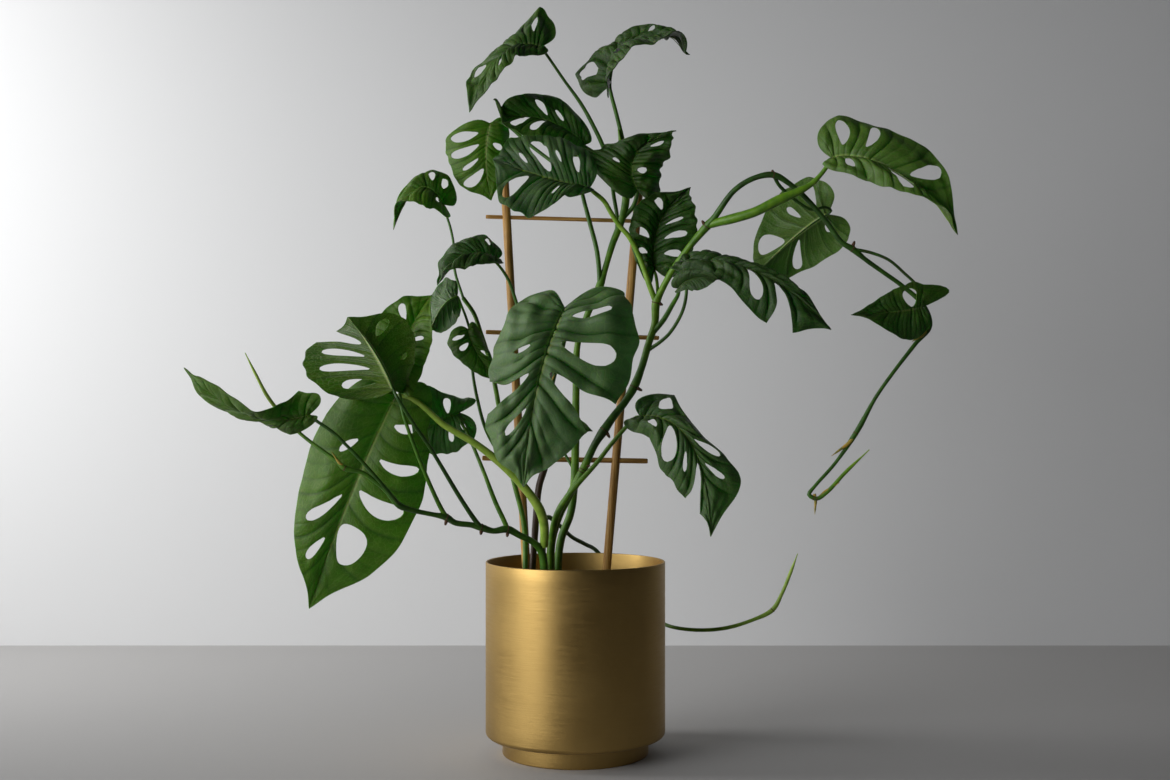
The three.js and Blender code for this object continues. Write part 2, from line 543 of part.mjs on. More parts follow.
// midrib, left, right and petiole are places; holes are listed for the left half, then the right.
const LEAVES = {
  leaf_01: {
    on: 'stem_central',
    midrib: [[-29, 590, 2], [-60, 584, -10], [-87, 540, -22]],
    left: [[-44, 583, -20], [-55, 577, -32], [-68, 557, -34]],
    right: [[-36, 616, 22], [-60, 591, 20], [-84, 568, 4]],
    camber: 3,
    lobes: [1, 1.5],
    holes: [[[3, 0.3, 0.7, 0.4]], [[1, 0.35, 0.8, 0.5], [4, 0.3, 0.8, 0.5]]],
    petiole: [
      [-26, 586, 3, 1.2], [-10, 563, 6, 1.3], [5, 542, 8, 1.6], [15, 524, 9, 1.8], [23, 507, 10, 1.9],
      [29, 488, 12, 1.9], [32, 466, 10, 1.7], [35, 445, 9.4, 1.7], [33, 428, 9, 1.7],
      [27, 412, 7, 1.8], [20.5, 389, 1, 1.8],
    ],
  },
  leaf_02: {
    on: 'stem_central',
    midrib: [[28, 557, -4], [45, 592, -18], [96, 597, -40]],
    left: [[7, 573, 12], [30, 593, 4], [62, 605, -14]],
    right: [[34, 572, -44], [47, 585, -50], [72, 595, -56]],
    camber: 3,
    holes: [[[1, 0.3, 0.85, 0.75], [4, 0.3, 0.7, 0.3]], [[2, 0.3, 0.7, 0.4]]],
    petiole: [[30, 550, -2, 1.6], [34, 535, 0, 1.7], [39, 514, 3, 1.9], [41.5, 498, 3, 2], [42, 482, 2, 2]],
  },
  leaf_03: {
    on: 'stem_central',
    midrib: [[8, 508, 16], [-26, 529, 10], [-68, 531, 0]],
    left: [[-8, 503, 2], [-27, 512, -8], [-53, 518, -12]],
    right: [[-8, 542, 26], [-26, 549, 22], [-52, 545, 12]],
    camber: 4,
    holes: [
      [[3, 0.2, 0.8, 0.5], [4, 0.15, 0.8, 0.6]],
      [[2, 0.15, 0.45, 0.5], [3, 0.15, 0.6, 0.45]],
    ],
    petiole: [[18, 500, 18, 1.6], [28, 490, 20, 1.7], [36, 478, 15, 1.8], [42, 466, 3, 1.8]],
  },
  leaf_04: {
    on: 'vine_main',
    midrib: [[12, 472, -24], [-25, 481, -34], [-66, 495, -34]],
    left: [[-14, 462, -46], [-34, 450, -52], [-60, 456, -48]],
    right: [[-7, 511, -16], [-26, 515, -18], [-52, 511, -22]],
    camber: 5,
    holes: [
      [[2, 0.2, 0.7, 0.4], [4, 0.2, 0.85, 0.65]],
      [[1, 0.3, 0.55, 0.4], [2, 0.25, 0.7, 0.4], [3, 0.15, 0.85, 0.75], [4, 0.2, 0.6, 0.4]],
    ],
    petiole: [
      [16, 468, -23, 1.8], [24, 461, -21, 1.9], [30, 451, -20, 2], [36.5, 441, -19, 2],
      [45, 431, -18, 2.1], [52.5, 416.5, -17, 2.1], [57.5, 404, -17, 2.2], [62.5, 389, -17, 2.3],
      [67.5, 376, -17, 2.4],
    ],
  },
  leaf_05: {
    on: 'stem_central',
    midrib: [[-71, 526, 34], [-75, 498, 32], [-71, 464, 34]],
    left: [[-56, 514, 44], [-57, 500, 44], [-60, 482, 42]],
    right: [[-108, 508, 36], [-105, 492, 36], [-96, 474, 36]],
    camber: 4,
    holes: [
      [[2, 0.3, 0.7, 0.5]],
      [[1, 0.3, 0.85, 0.55], [2, 0.25, 0.9, 0.5], [3, 0.25, 0.7, 0.3], [4, 0.2, 0.85, 0.6]],
    ],
    petiole: [
      [-60, 526, 35, 1.5], [-38, 508, 33, 1.6], [-12, 488, 26, 1.6], [3, 474, 12, 1.7],
      [8, 458, 5, 1.8], [12, 443, 1, 1.9], [18, 419, -2, 2], [20, 400, -1, 2], [20, 388, 0, 2],
    ],
  },
  leaf_06: {
    on: 'vine_left',
    midrib: [[-110, 458, 18], [-131, 472, 6], [-151, 441, 0]],
    left: [[-120, 455, -4], [-128, 457, -10], [-143, 460, -8]],
    right: [[-109, 484, 24], [-124, 485, 22], [-143, 466, 10]],
    camber: 3,
    holes: [[[1, 0.3, 0.6, 0.4]], [[1, 0.3, 0.75, 0.5], [2, 0.3, 0.75, 0.5]]],
    petiole: [
      [-109, 452, 20, 1], [-105, 440, 18, 1.1], [-102, 425, 15, 1.1], [-101, 403, 12, 1.2],
      [-94, 380, 5, 1.2],
    ],
  },
  leaf_07: {
    on: 'stem_central',
    midrib: [[52, 470, -6], [50, 500, -18], [81, 519, -26]],
    left: [[6, 503, -12], [22, 507, -14], [46, 514, -16]],
    right: [[69, 478, -2], [73, 490, -8], [80, 508, -20]],
    camber: 6,
    lobes: [2, 1],
    wave: 2,
    holes: [[[2, 0.3, 0.5, 0.3]], [[2, 0.2, 0.5, 0.5], [4, 0.3, 0.7, 0.4]]],
    petiole: [[51, 464, -4, 1.8], [48, 456, 0, 1.9], [41, 448, 2, 1.9]],
  },
  leaf_08: {
    on: 'vine_main',
    midrib: [[66, 404, -2], [70, 442, 2], [94, 471, -8]],
    left: [[47, 424, -4], [46, 444, -6], [60, 465, -8]],
    right: [[97, 420, -4], [101, 440, -2], [98, 460, -4]],
    camber: 5,
    lobes: [2, 1],
    holes: [
      [[1, 0.3, 0.7, 0.3], [2, 0.25, 0.75, 0.5], [4, 0.25, 0.75, 0.4]],
      [[1, 0.3, 0.75, 0.4], [2, 0.25, 0.75, 0.45], [3, 0.2, 0.6, 0.3]],
    ],
    petiole: [[67.5, 398, -6, 1.4], [68.5, 391, -12, 1.4], [69, 380, -17.5, 1.5]],
  },
  leaf_09: {
    on: 'vine_main',
    midrib: [[90, 408, -38], [150, 403, -54], [210, 358, -62]],
    left: [[116, 417, -30], [144, 410, -38], [180, 393, -48]],
    right: [[106, 400, -54], [134, 383, -64], [166, 355, -66]],
    camber: 4,
    lobes: [0.6, 0.6],
    holes: [[[2, 0.3, 0.6, 0.4]], [[1, 0.3, 0.5, 0.3], [3, 0.1, 0.75, 0.55], [4, 0.15, 1.1, 0.5]]],
    petiole: [
      [91, 400, -38, 1.4], [93, 388, -36, 1.4], [90, 370, -33, 1.4], [80, 352, -27, 1.5],
      [72, 344, -21, 1.5], [62, 337, -15, 1.6],
    ],
  },
  leaf_10: {
    on: 'vine_main',
    midrib: [[211, 450, -24], [184, 431, -18], [153, 402, -18]],
    left: [[187, 478, -8], [164, 458, -4], [150, 424, -8]],
    right: [[221, 421, -12], [200, 407, -8], [172, 397, -10]],
    camber: 5,
    lobes: [2, 1.5],
    holes: [
      [[1, 0.3, 0.85, 0.55], [2, 0.3, 0.65, 0.35], [4, 0.1, 0.85, 0.75]],
      [[1, 0.2, 0.45, 0.3], [3, 0.15, 0.85, 0.5]],
    ],
    petiole: [
      [214, 453, -27, 1.1], [209, 456, -32, 1.1], [198, 454, -34, 1.2], [188, 459, -36, 1.3],
      [178, 467, -40, 1.4], [170, 475, -46, 1.5], [166, 483, -52, 1.6],
    ],
  },
  leaf_11: {
    on: 'vine_main',
    midrib: [[214, 497, -66], [262, 489, -80], [318, 442, -84]],
    left: [[228, 529, -56], [262, 519, -62], [301, 492, -72]],
    right: [[238, 481, -86], [264, 471, -92], [298, 457, -92]],
    camber: 5,
    holes: [
      [[1, 0.2, 0.85, 0.65], [2, 0.25, 0.85, 0.5], [4, 0.15, 0.85, 0.5]],
      [[1, 0.3, 0.65, 0.4], [3, 0.15, 0.8, 0.6], [4, 0.3, 0.7, 0.35]],
    ],
    petiole: [
      [213, 494, -65, 1.7], [206, 484, -63, 1.8], [197, 475, -61, 2.2], [186, 469, -60, 3.2],
      [170, 462, -58, 3.9], [150, 452, -54, 3.8], [130, 446, -46, 3.9], [118, 443, -38, 3.4],
      [110, 440, -34, 2.6],
    ],
  },
  leaf_12: {
    on: 'vine_main',
    midrib: [[290, 372, -60], [264, 368, -68], [233, 366, -74]],
    left: [[285, 347, -62], [272, 347, -68], [251, 357, -74]],
    right: [[281, 392, -58], [267, 387, -62], [250, 376, -68]],
    camber: 3,
    lobes: [1, 5],
    holes: [[], [[1, 0.25, 0.75, 0.5], [2, 0.1, 0.75, 0.6]]],
    petiole: [
      [291, 378, -56, 1.2], [286, 390, -52, 1.2], [275, 401, -50, 1.2], [262, 412, -50, 1.2],
      [247, 418, -48, 1.3], [232, 421, -46, 1.4],
    ],
  },
  leaf_13: {
    on: 'vine_main',
    midrib: [[54, 281, -40], [96, 260, -54], [113, 187, -54]],
    left: [[86, 291, -34], [107, 264, -44], [134, 232, -42]],
    right: [[65, 256, -50], [76, 232, -52], [95, 209, -46]],
    camber: 6,
    lobes: [0.7, 1],
    holes: [
      [[1, 0.25, 0.8, 0.5], [3, 0.25, 0.85, 0.5], [4, 0.2, 0.6, 0.3]],
      [[1, 0.25, 0.6, 0.4], [2, 0.15, 0.85, 0.6], [3, 0.3, 0.6, 0.3], [4, 0.15, 1.1, 0.6]],
    ],
    petiole: [
      [51, 280, -39, 1.6], [32, 260, -35, 1.8], [17, 241, -31, 1.9], [-4, 217.5, -27, 2.4],
      [-14, 202, -24, 2.7], [-18, 190, -19, 2.8], [-20, 176, -14, 2.8],
    ],
  },
  leaf_14: {
    on: 'stem_left',
    midrib: [[-9, 372, -62], [-31, 312, -86], [-43, 228, -80]],
    left: [[49, 361, -58], [44, 322, -60], [-4, 257, -72]],
    right: [[-61, 352, -64], [-72, 312, -68], [-70, 262, -72]],
    camber: 7,
    sweep: [[3, 0.17], [0, 0]],
    holes: [
      [[1, 0.2, 0.5, 0.35], [2, 0.2, 0.85, 0.55], [3, 0.15, 1.1, 0.4]],
      [[2, 0.3, 0.6, 0.25], [3, 0.3, 1.1, 0.3], [4, 0.2, 0.65, 0.35]],
    ],
    petiole: [
      [-9, 368, -58, 1.8], [-8, 354, -44, 1.9], [-11, 338, -28, 1.9], [-16, 322, -14, 2],
      [-21, 302, -8, 2],
    ],
  },
  leaf_15: {
    on: 'vine_creeping',
    midrib: [[-152, 303, -86], [-167, 333, -94], [-189, 362, -90]],
    left: [[-138, 318, -76], [-134, 342, -76], [-150, 366, -82]],
    right: [[-214, 306, -82], [-228, 326, -82], [-212, 347, -84]],
    camber: 5,
    holes: [
      [[2, 0.5, 0.75, 0.3], [4, 0.3, 0.8, 0.5]],
      [[1, 0.2, 0.75, 0.5], [2, 0.2, 0.8, 0.5], [3, 0.2, 0.75, 0.5], [4, 0.2, 1.1, 0.6]],
    ],
    petiole: [
      [-150, 298, -90, 1.3], [-136, 275.5, -86, 1.4], [-121, 253.5, -76, 1.5], [-96, 212, -58, 1.8],
      [-84, 194, -50, 2], [-79, 188, -45, 2],
    ],
  },
  leaf_16: {
    on: 'vine_creeping',
    midrib: [[-151, 297, -50], [-189, 213, -48], [-221, 126, -42]],
    left: [[-124, 262, -42], [-126, 222, -36], [-156, 166, -32]],
    right: [[-214, 270, -48], [-231, 220, -46], [-233, 170, -46]],
    camber: 7,
    holes: [
      [[1, 0.3, 0.75, 0.35], [2, 0.1, 0.85, 0.45], [3, 0.15, 0.55, 0.3], [4, 0.06, 0.6, 0.8]],
      [[1, 0.3, 0.55, 0.3], [3, 0.2, 0.75, 0.4], [4, 0.3, 0.75, 0.4]],
    ],
    petiole: [
      [-147, 298, -51, 2], [-134, 294, -53, 2.2], [-126, 288, -54, 2.3], [-111, 274.5, -54, 2.5],
      [-83, 257.5, -52, 2.9], [-65, 243.5, -48, 3.2], [-45, 224, -42, 3.5], [-30, 203, -36, 3.9],
      [-26, 188, -30, 3.8], [-26.5, 172, -25, 3.4],
    ],
  },
  leaf_17: {
    on: 'vine_creeping',
    midrib: [[-223, 282, -98], [-272, 283, -104], [-324, 318, -104]],
    left: [[-244, 268, -92], [-268, 279, -86], [-301, 293, -90]],
    right: [[-238, 296, -100], [-265, 288, -122], [-298, 308, -116]],
    camber: 4,
    holes: [[[2, 0.2, 0.6, 0.4]], [[3, 0.15, 0.5, 0.4]]],
    petiole: [
      [-218, 278, -98, 1.3], [-203, 267.5, -97, 1.3], [-192, 257, -96, 1.3], [-174.5, 238.5, -93, 1.4],
      [-156, 217, -83, 1.5], [-147, 206, -72, 1.6],
    ],
  },
  leaf_18: {
    on: 'vine_creeping',
    midrib: [[-147, 305, -68], [-142, 344, -58], [-122, 380, -54]],
    left: [[-170, 322, -62], [-172, 345, -56], [-152, 374, -54]],
    right: [[-130, 316, -68], [-122, 335, -66], [-119, 354, -64]],
    camber: 4,
    holes: [[[4, 0.3, 0.8, 0.4]], [[3, 0.3, 0.7, 0.3]]],
    petiole: [
      [-147, 300, -68, 1.3], [-145, 286, -70, 1.4], [-134, 253.5, -68, 1.5], [-121, 222, -62, 1.7],
      [-112, 203, -58, 1.9], [-108, 196.5, -56, 2],
    ],
  },
  leaf_19: {
    on: 'stem_left',
    midrib: [[-67, 411, -22], [-90, 415, -32], [-114, 393, -38]],
    left: [[-78, 409, -44], [-92, 406, -50], [-106, 400, -48]],
    right: [[-80, 432, -14], [-96, 428, -18], [-111, 411, -28]],
    camber: 4,
    holes: [[], [[1, 0.35, 0.65, 0.35]]],
    petiole: [
      [-64, 407, -21, 1.2], [-56, 395, -19, 1.3], [-50, 378, -17, 1.4], [-44, 358, -16, 1.5],
      [-34, 336, -14, 1.6], [-24, 316, -10, 1.7], [-21, 300, -8, 1.7],
    ],
  },
  leaf_20: {
    on: 'vine_left',
    midrib: [[-99, 381, -18], [-111, 373, -24], [-121, 354, -20]],
    left: [[-105, 397, -14], [-117, 390, -12], [-127, 366, -16]],
    right: [[-98, 365, -22], [-103, 357, -22], [-113, 351, -18]],
    camber: 3,
    holes: [[], []],
    petiole: [
      [-96, 375, -17, 1], [-91, 362, -14, 1.1], [-87, 346, -9, 1.2], [-86, 318, -10, 1.3],
      [-82, 295, -12, 1.4], [-75, 270, -12, 1.5], [-65, 252, -9, 1.5], [-57, 244, -7, 1.5],
    ],
  },
  leaf_21: {
    on: 'vine_left',
    midrib: [[-90, 354, -22], [-83, 335, -30], [-68, 312, -30]],
    left: [[-79, 349, -20], [-74, 338, -22], [-68, 322, -26]],
    right: [[-106, 340, -28], [-99, 329, -34], [-83, 316, -34]],
    camber: 3,
    holes: [[[3, 0.3, 0.7, 0.4]], [[1, 0.2, 0.8, 0.4], [2, 0.2, 0.7, 0.5]]],
    petiole: [[-87, 352, -20, 1], [-82, 347, -12, 1], [-79, 345, -4, 1.1], [-77.5, 343, 0, 1.1]],
  },
  leaf_22: {
    on: 'vine_creeping',
    midrib: [[-97, 284, -20], [-116, 276, -30], [-134, 262, -32]],
    left: [[-92, 257, -22], [-107, 250, -25], [-123, 252, -27]],
    right: [[-97, 296, -16], [-115, 303, -22], [-137, 304, -28]],
    camber: 6,
    lobes: [1, 2],
    holes: [[[1, 0.3, 0.6, 0.4], [2, 0.3, 0.7, 0.4]], [[2, 0.15, 0.8, 0.5]]],
    petiole: [
      [-97, 279, -24, 1.3], [-89, 263.5, -28, 1.4], [-77, 235, -34, 1.6], [-67, 209, -36, 1.9],
      [-60, 194, -37, 2], [-57, 187, -37, 2],
    ],
  },
  leaf_23: {
    on: 'stem_central',
    midrib: [[-17, 278, 18], [-4, 274, 16], [13, 269, 12]],
    left: [[-12, 282, 26], [-4, 280, 24], [6, 275, 18]],
    right: [[-14, 266, 12], [-6, 260, 10], [4, 262, 9]],
    camber: 3,
    holes: [[], []],
    petiole: [[-17, 274, 14, 1], [-14, 262, 8, 1.1], [-8, 248, 3, 1.2], [-1, 236, 0, 1.3]],
  },
  leaf_24: {
    on: 'vine_main',
    midrib: [[86, 388, -52], [100, 397, -60], [119, 396, -66]],
    left: [[88, 402, -56], [97, 404, -60], [111, 401, -64]],
    right: [[95, 387, -66], [102, 386, -68], [113, 390, -68]],
    camber: 3,
    holes: [[], []],
    petiole: [
      [86, 383, -46, 1.6], [81, 374, -36, 2], [74, 362, -26, 2.2], [66, 352, -15, 2.2],
    ],
  },
};

function leafSolid({ on, holes, petiole, ...shape }) {
  const blade = new Blade(shape);
  const sheet = bladeSheet(blade, holes);
  return solidOf(thicken(sheet))
    .add(petioleSolid(blade, petiole))
    .subtract(stemSolid(STEMS[on], GAP));
}

// ---------- The plant ----------
const plant = new THREE.Group();

function addPiece(name, geometry, kind) {
  const mesh = new THREE.Mesh(geometry, FINISHES[kind]());
  mesh.name = name;
  plant.add(mesh);
}

const standing = [
  ...Object.values(STEMS).map((stem) => stemSolid(stem, GAP)),
  ...Object.keys(CANES).map((name) => canePiece(name, GAP)),
];

addPiece('pot', potGeometry(), 'brass');
addPiece('soil', soilGeometry(standing), 'soil');
for (const name of Object.keys(CANES)) {
  let cane = canePiece(name);
  for (const rung of Object.keys(RUNGS)) {
    cane = cane.subtract(rungPiece(rung, GAP));
  }
  addPiece(name, geometryOf(cane), 'bamboo');
}
for (const name of Object.keys(RUNGS)) {
  addPiece(name, geometryOf(rungPiece(name)), 'bamboo');
}
for (const [name, stem] of Object.entries(STEMS)) {
  addPiece(name, geometryOf(stemSolid(stem)), 'stem');
}
for (const [name, leaf] of Object.entries(LEAVES)) {
  addPiece(name, geometryOf(leafSolid(leaf)), 'leaf');
}

export default plant;
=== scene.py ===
import math
import random

import bmesh
import bpy
from mathutils import Matrix, Vector, noise


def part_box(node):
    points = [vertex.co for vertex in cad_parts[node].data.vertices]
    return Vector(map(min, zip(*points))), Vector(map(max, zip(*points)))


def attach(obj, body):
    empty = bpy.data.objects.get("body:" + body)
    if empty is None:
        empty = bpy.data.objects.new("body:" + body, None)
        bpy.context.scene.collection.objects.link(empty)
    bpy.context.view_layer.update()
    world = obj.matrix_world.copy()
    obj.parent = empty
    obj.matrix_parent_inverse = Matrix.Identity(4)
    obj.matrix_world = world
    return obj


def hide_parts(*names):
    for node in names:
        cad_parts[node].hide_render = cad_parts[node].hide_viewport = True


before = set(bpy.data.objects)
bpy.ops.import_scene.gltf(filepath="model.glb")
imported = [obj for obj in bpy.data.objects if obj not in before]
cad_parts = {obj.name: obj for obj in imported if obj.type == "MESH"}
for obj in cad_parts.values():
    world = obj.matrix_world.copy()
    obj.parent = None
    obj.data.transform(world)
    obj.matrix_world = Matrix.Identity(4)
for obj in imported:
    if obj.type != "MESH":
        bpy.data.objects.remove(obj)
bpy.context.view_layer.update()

BODY = "root"
MM = 0.001

# ---------- Driving dimensions, in metres ----------
POT_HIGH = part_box("pot")[1]
POT_RADIUS = POT_HIGH.x
POT_HEIGHT = POT_HIGH.z
POT_WALL = 1.5 * MM
POT_CORNER = 4 * MM     # rounding where the body turns in to the foot
POT_STEPS = 192
FOOT_RADIUS = 61 * MM
FOOT_HEIGHT = 15 * MM
FOOT_EDGE = 1.2 * MM    # rounding of the foot's lower edge
FOOT_SEAM = 0.6 * MM    # the fillet where the foot meets the body
SOIL_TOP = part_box("soil")[1].z
SOIL_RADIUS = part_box("soil")[1].x
SOIL_SHOWN = 14 * MM    # how deep the shown soil goes
SOIL_DROP = 3 * MM      # how much lower it lies at the pot's wall than in the middle
SOIL_LUMPS = 1.4        # how high the lumps of its surface stand, in mm
SOIL_GRAIN = 90         # lumps a metre
LUMP_ROOM = 1.5 * MM    # how far its surface lies under its highest place, for the lumps
SOIL_ROWS, SOIL_STEPS = 40, 120
CRUMBS = 420
CRUMB_SIZE = (0.8, 2.6)  # in mm
CANE_RADIUS = 3.6 * MM
CANE_DEPTH = 14         # how far behind the pot's axis the ladder stands, in mm
CANE_FOOT = 0.112       # height at which the canes end in the soil
LEAF_THICK = 0.7 * MM
CANE_SIDES, RUNG_SIDES, STEM_SIDES, STALK_SIDES, NUB_SIDES = 24, 16, 14, 12, 10
STEM_STEP = 2.5 * MM    # from ring to ring along a stem or stalk
NUB_STEP = 0.8 * MM

# Every place in the plant is (across, up, depth) in mm: where it shows in the front elevation, drawn on
# the plane of the pot's axis as an eye at EYE sees it, and how far behind that plane it lies.
EYE = Vector((8, -1130, 272)) * MM


def place(spot):
    across, up, depth = (value * MM for value in spot)
    reach = (depth - EYE.y) / -EYE.y
    return Vector((EYE.x + (across - EYE.x) * reach, depth, EYE.z + (up - EYE.z) * reach))


# ---------- The ladder ----------
CANES = {
    "cane_left": ((-60.5, 500, CANE_DEPTH), (-41, 152, CANE_DEPTH)),
    "cane_right": ((53, 468, CANE_DEPTH), (26, 152, CANE_DEPTH)),
}
RUNGS = {
    "rung_top": ((-75, 448, CANE_DEPTH), (62, 444, CANE_DEPTH), 1.7),
    "rung_middle": ((-75, 351.5, CANE_DEPTH), (70, 346.5, CANE_DEPTH), 1.9),
    "rung_bottom": ((-78, 246, CANE_DEPTH), (60.5, 243.5, CANE_DEPTH), 2.2),
}

# ---------- Stems and leaves ----------
# How fresh a stem or stalk is: 0 brown and woody, 0.35 dark green, 0.65 green, 1 pale new growth.
# freshness: (share of the stem's length, how fresh it is there).
# route: (across, up, depth, radius) in mm; nubs: short buds, bracts and aerial roots on the stem, each
# from a place inside it to a free tip, with the radius at its root.
STEMS = {
    "vine_creeping": dict(
        freshness=[
            (0, 0.5), (0.14, 0.55), (0.2, 0.42), (0.5, 0.42), (0.62, 0.5), (0.8, 0.66), (0.88, 0.95),
            (1, 1.05),
        ],
        route=[
            (-26, 100, -24, 3), (-26, 130, -24, 3), (-26.5, 158, -24, 3.4), (-29, 169, -26, 3.2),
            (-36, 176, -29, 2.6), (-47, 181.5, -33, 2.6), (-57, 186.5, -37, 3.2), (-69, 185, -41, 2.4),
            (-79, 188, -45, 3.1), (-87, 190, -48, 2.4), (-101, 192, -53, 2.3), (-108, 196.5, -56, 2.9),
            (-118, 198.5, -60, 2), (-137, 202.5, -68, 2), (-147, 206, -72, 2.6), (-160, 220, -76, 1.8),
            (-179, 234, -80, 1.7), (-193, 237.5, -82, 2.3), (-200, 243.5, -82, 1.6), (-232, 268, -78, 1.4),
            (-256, 295, -76, 1.5), (-267, 315, -76, 1.2), (-276.5, 334, -76, 0.4),
        ],
        nubs=[
            ((-57, 186, -37), (-58, 178.5, -38), 1.5), ((-79, 187, -45), (-80, 180.5, -46), 1.5),
            ((-108, 195.5, -56), (-110, 188.5, -57), 1.4), ((-193, 238, -82), (-203, 252, -86), 1.3),
        ],
    ),
    "vine_main": dict(
        freshness=[
            (0, 0.6), (0.13, 0.7), (0.165, 0.62), (0.185, 0.34), (0.22, 0.42), (0.27, 0.56), (0.33, 0.74),
            (0.42, 0.62), (0.47, 0.36), (0.8, 0.4), (0.93, 0.5), (1, 0.9),
        ],
        route=[
            (-20, 100, -13, 3.2), (-20.5, 150, -13, 3.4), (-20, 175, -14, 3.4), (-14, 197, -15, 3.3),
            (-6, 213, -16, 3.2), (4.5, 232, -17, 3.6), (16, 257, -17, 3.2), (24, 269.5, -17, 3.9),
            (32, 281, -16, 3.2), (41.5, 293, -15, 3.1), (49, 305.5, -14, 3.7), (55.5, 322, -14, 3),
            (61, 341, -15, 3), (66.5, 359, -16, 3), (67.5, 376, -17, 3.6), (71, 384, -18, 2.8),
            (80, 401, -21, 2.7), (96, 423.5, -28, 2.7), (110, 440, -34, 3.5), (116, 447, -38, 2.6),
            (133, 470, -46, 2.3), (150, 480.5, -50, 2.2), (166, 483, -52, 2.6), (180, 475, -50, 2.1),
            (192, 464.5, -48, 2.1), (209, 445, -46, 2.1), (223, 426.5, -46, 2.1), (232, 421, -46, 2.6),
            (243, 412, -44, 1.9), (257, 402, -42, 1.8), (275, 389, -40, 1.8), (291, 374, -42, 2.1),
            (296, 357, -46, 2.6), (284, 341, -48, 1.7), (267, 319, -50, 1.5), (251.5, 297, -50, 1.5),
            (236, 269, -50, 2.2), (218, 242.5, -50, 1.4), (200, 222, -50, 1.4), (195.5, 215.5, -50, 1.7),
            (202, 212, -51, 1.7), (210.5, 217.5, -52, 1.7), (226, 234, -53, 1.5), (246, 253, -54, 0.4),
        ],
        nubs=[
            ((24, 269, -17), (29, 261, -20), 1.6), ((49, 305, -14), (57, 301, -18), 1.6),
            ((5, 234, -17), (0, 224, -21), 1.2), ((6, 238, -17), (14, 239, -22), 1.2),
            ((67.5, 376, -17), (74, 373, -20), 1.6), ((110, 440, -34), (105.5, 446.5, -36), 1.5),
            ((166, 483, -52), (165, 488.5, -53), 1.3), ((232, 421, -46), (235, 429, -48), 1.4),
            ((294, 353, -47), (281, 345, -55), 1.7), ((235, 266, -50), (213, 249.5, -53), 1.6),
            ((200, 216, -50), (199, 199, -50), 1.3), ((203, 212, -51), (222, 224, -54), 1.2),
        ],
    ),
    "stem_central": dict(
        freshness=[(0, 0.5), (0.25, 0.66), (0.5, 0.68), (0.8, 0.58), (1, 0.7)],
        route=[
            (-15, 100, 0, 3.4), (-15, 150, 0, 3.4), (-12, 178, 0, 3.3), (-4, 200, 0, 3.3),
            (-1, 225, 0, 3.4), (0, 258, 0, 3.4), (0.5, 300, 0, 3.1), (2, 342, 0, 2.7), (10, 366, 0, 2.7),
            (20, 389, 0, 3.5), (25, 405, 1, 2.6), (31, 425, 2, 2.8), (38, 443, 2, 3.1), (42, 460, 2, 3.4),
            (42, 484, 2, 3), (39, 503, 1, 2.3), (36, 521, 0, 0.8),
        ],
        nubs=[],
    ),
    "stem_left": dict(
        freshness=[(0, 0.1), (0.6, 0.02), (1, 0.12)],
        route=[
            (-36, 100, -7, 2.7), (-36, 150, -7, 2.7), (-34, 181, -7, 2.8), (-33, 196, -7, 2.8),
            (-30.5, 222, -7, 2.9), (-25, 242, -7, 3), (-24, 284, -8, 2.9), (-21, 300, -8, 3.2),
            (-19, 322, -9, 2.4),
        ],
        nubs=[((-22, 300, -8), (-15, 318, -14), 1.2)],
    ),
    "vine_left": dict(
        freshness=[(0, 0.55), (0.6, 0.68), (1, 0.6)],
        route=[
            (-42, 100, -17, 2.2), (-42, 150, -17, 2.2), (-43, 190, -12, 2.2), (-52, 228, -8, 2.1),
            (-60, 262, -6, 2), (-66, 300, -6, 2), (-72, 328, -2, 1.9), (-79, 350, 1, 1.9),
            (-85, 367, 3, 1.8), (-94, 380, 5, 1.8),
        ],
        nubs=[],
    ),
    "shoot_trailing": dict(
        freshness=[(0, 0.5), (0.5, 0.5), (0.65, 0.66), (0.85, 0.85), (1, 1)],
        route=[
            (-27, 100, 6, 2), (-27, 150, 6, 2), (-24, 196, 8, 2), (-14, 190, 22, 1.9), (-3, 180, 44, 1.8),
            (8, 174, 62, 1.8), (18, 168, 80, 1.8), (35, 144, 92, 1.7), (54, 118, 92, 1.7),
            (72, 108, 84, 1.7), (84, 104, 72, 1.7), (106, 102, 60, 1.7), (127, 104, 52, 1.7),
            (147, 110, 48, 1.6), (165, 119, 46, 2.1), (173, 133, 45, 1.6), (180, 150, 44, 1.5),
            (186, 166, 43, 0.4),
        ],
        nubs=[((165, 119, 46), (158, 114, 46), 1.3)],
    ),
}

# A leaf is drawn flat first. Along it, 0 is the end of the stalk and 1 the drip tip; across it, 1 is the
# widest place of a half. OUTLINE is one half's margin, round the lobe beside the stalk to the tip.
OUTLINE = [
    (0, 0), (0.3, -0.085), (0.68, -0.045), (0.93, 0.1), (1, 0.27),
    (0.94, 0.46), (0.74, 0.66), (0.44, 0.83), (0.14, 0.945), (0, 1),
]
# The side veins split each half into cells. Each vein leaves the midrib at ROOTS and meets the margin at
# the share ENDS of the outline.
ROOTS = [0, 0.03, 0.17, 0.34, 0.52, 0.72, 1]
ENDS = [0, 0.27, 0.44, 0.56, 0.68, 0.81, 1]
CELLS = len(ROOTS) - 1
VEIN_BOW = 0.05               # how far a side vein bows towards the tip
SWEEP_REACH = 0.8             # how many cells to either side a swept margin draws with it
STATIONS = (0.2, 0.45, 0.75)  # where along the midrib a leaf's side points stand
SIDES_FROM, SIDES_TO = 0.14, 0.88  # the sides keep their direction before and after these
TIP_FROM = 0.84               # where a leaf begins to draw in to its drip tip
DRIP_TIP = 0.035              # how far the tip runs on past the midrib's end, as a share of the length
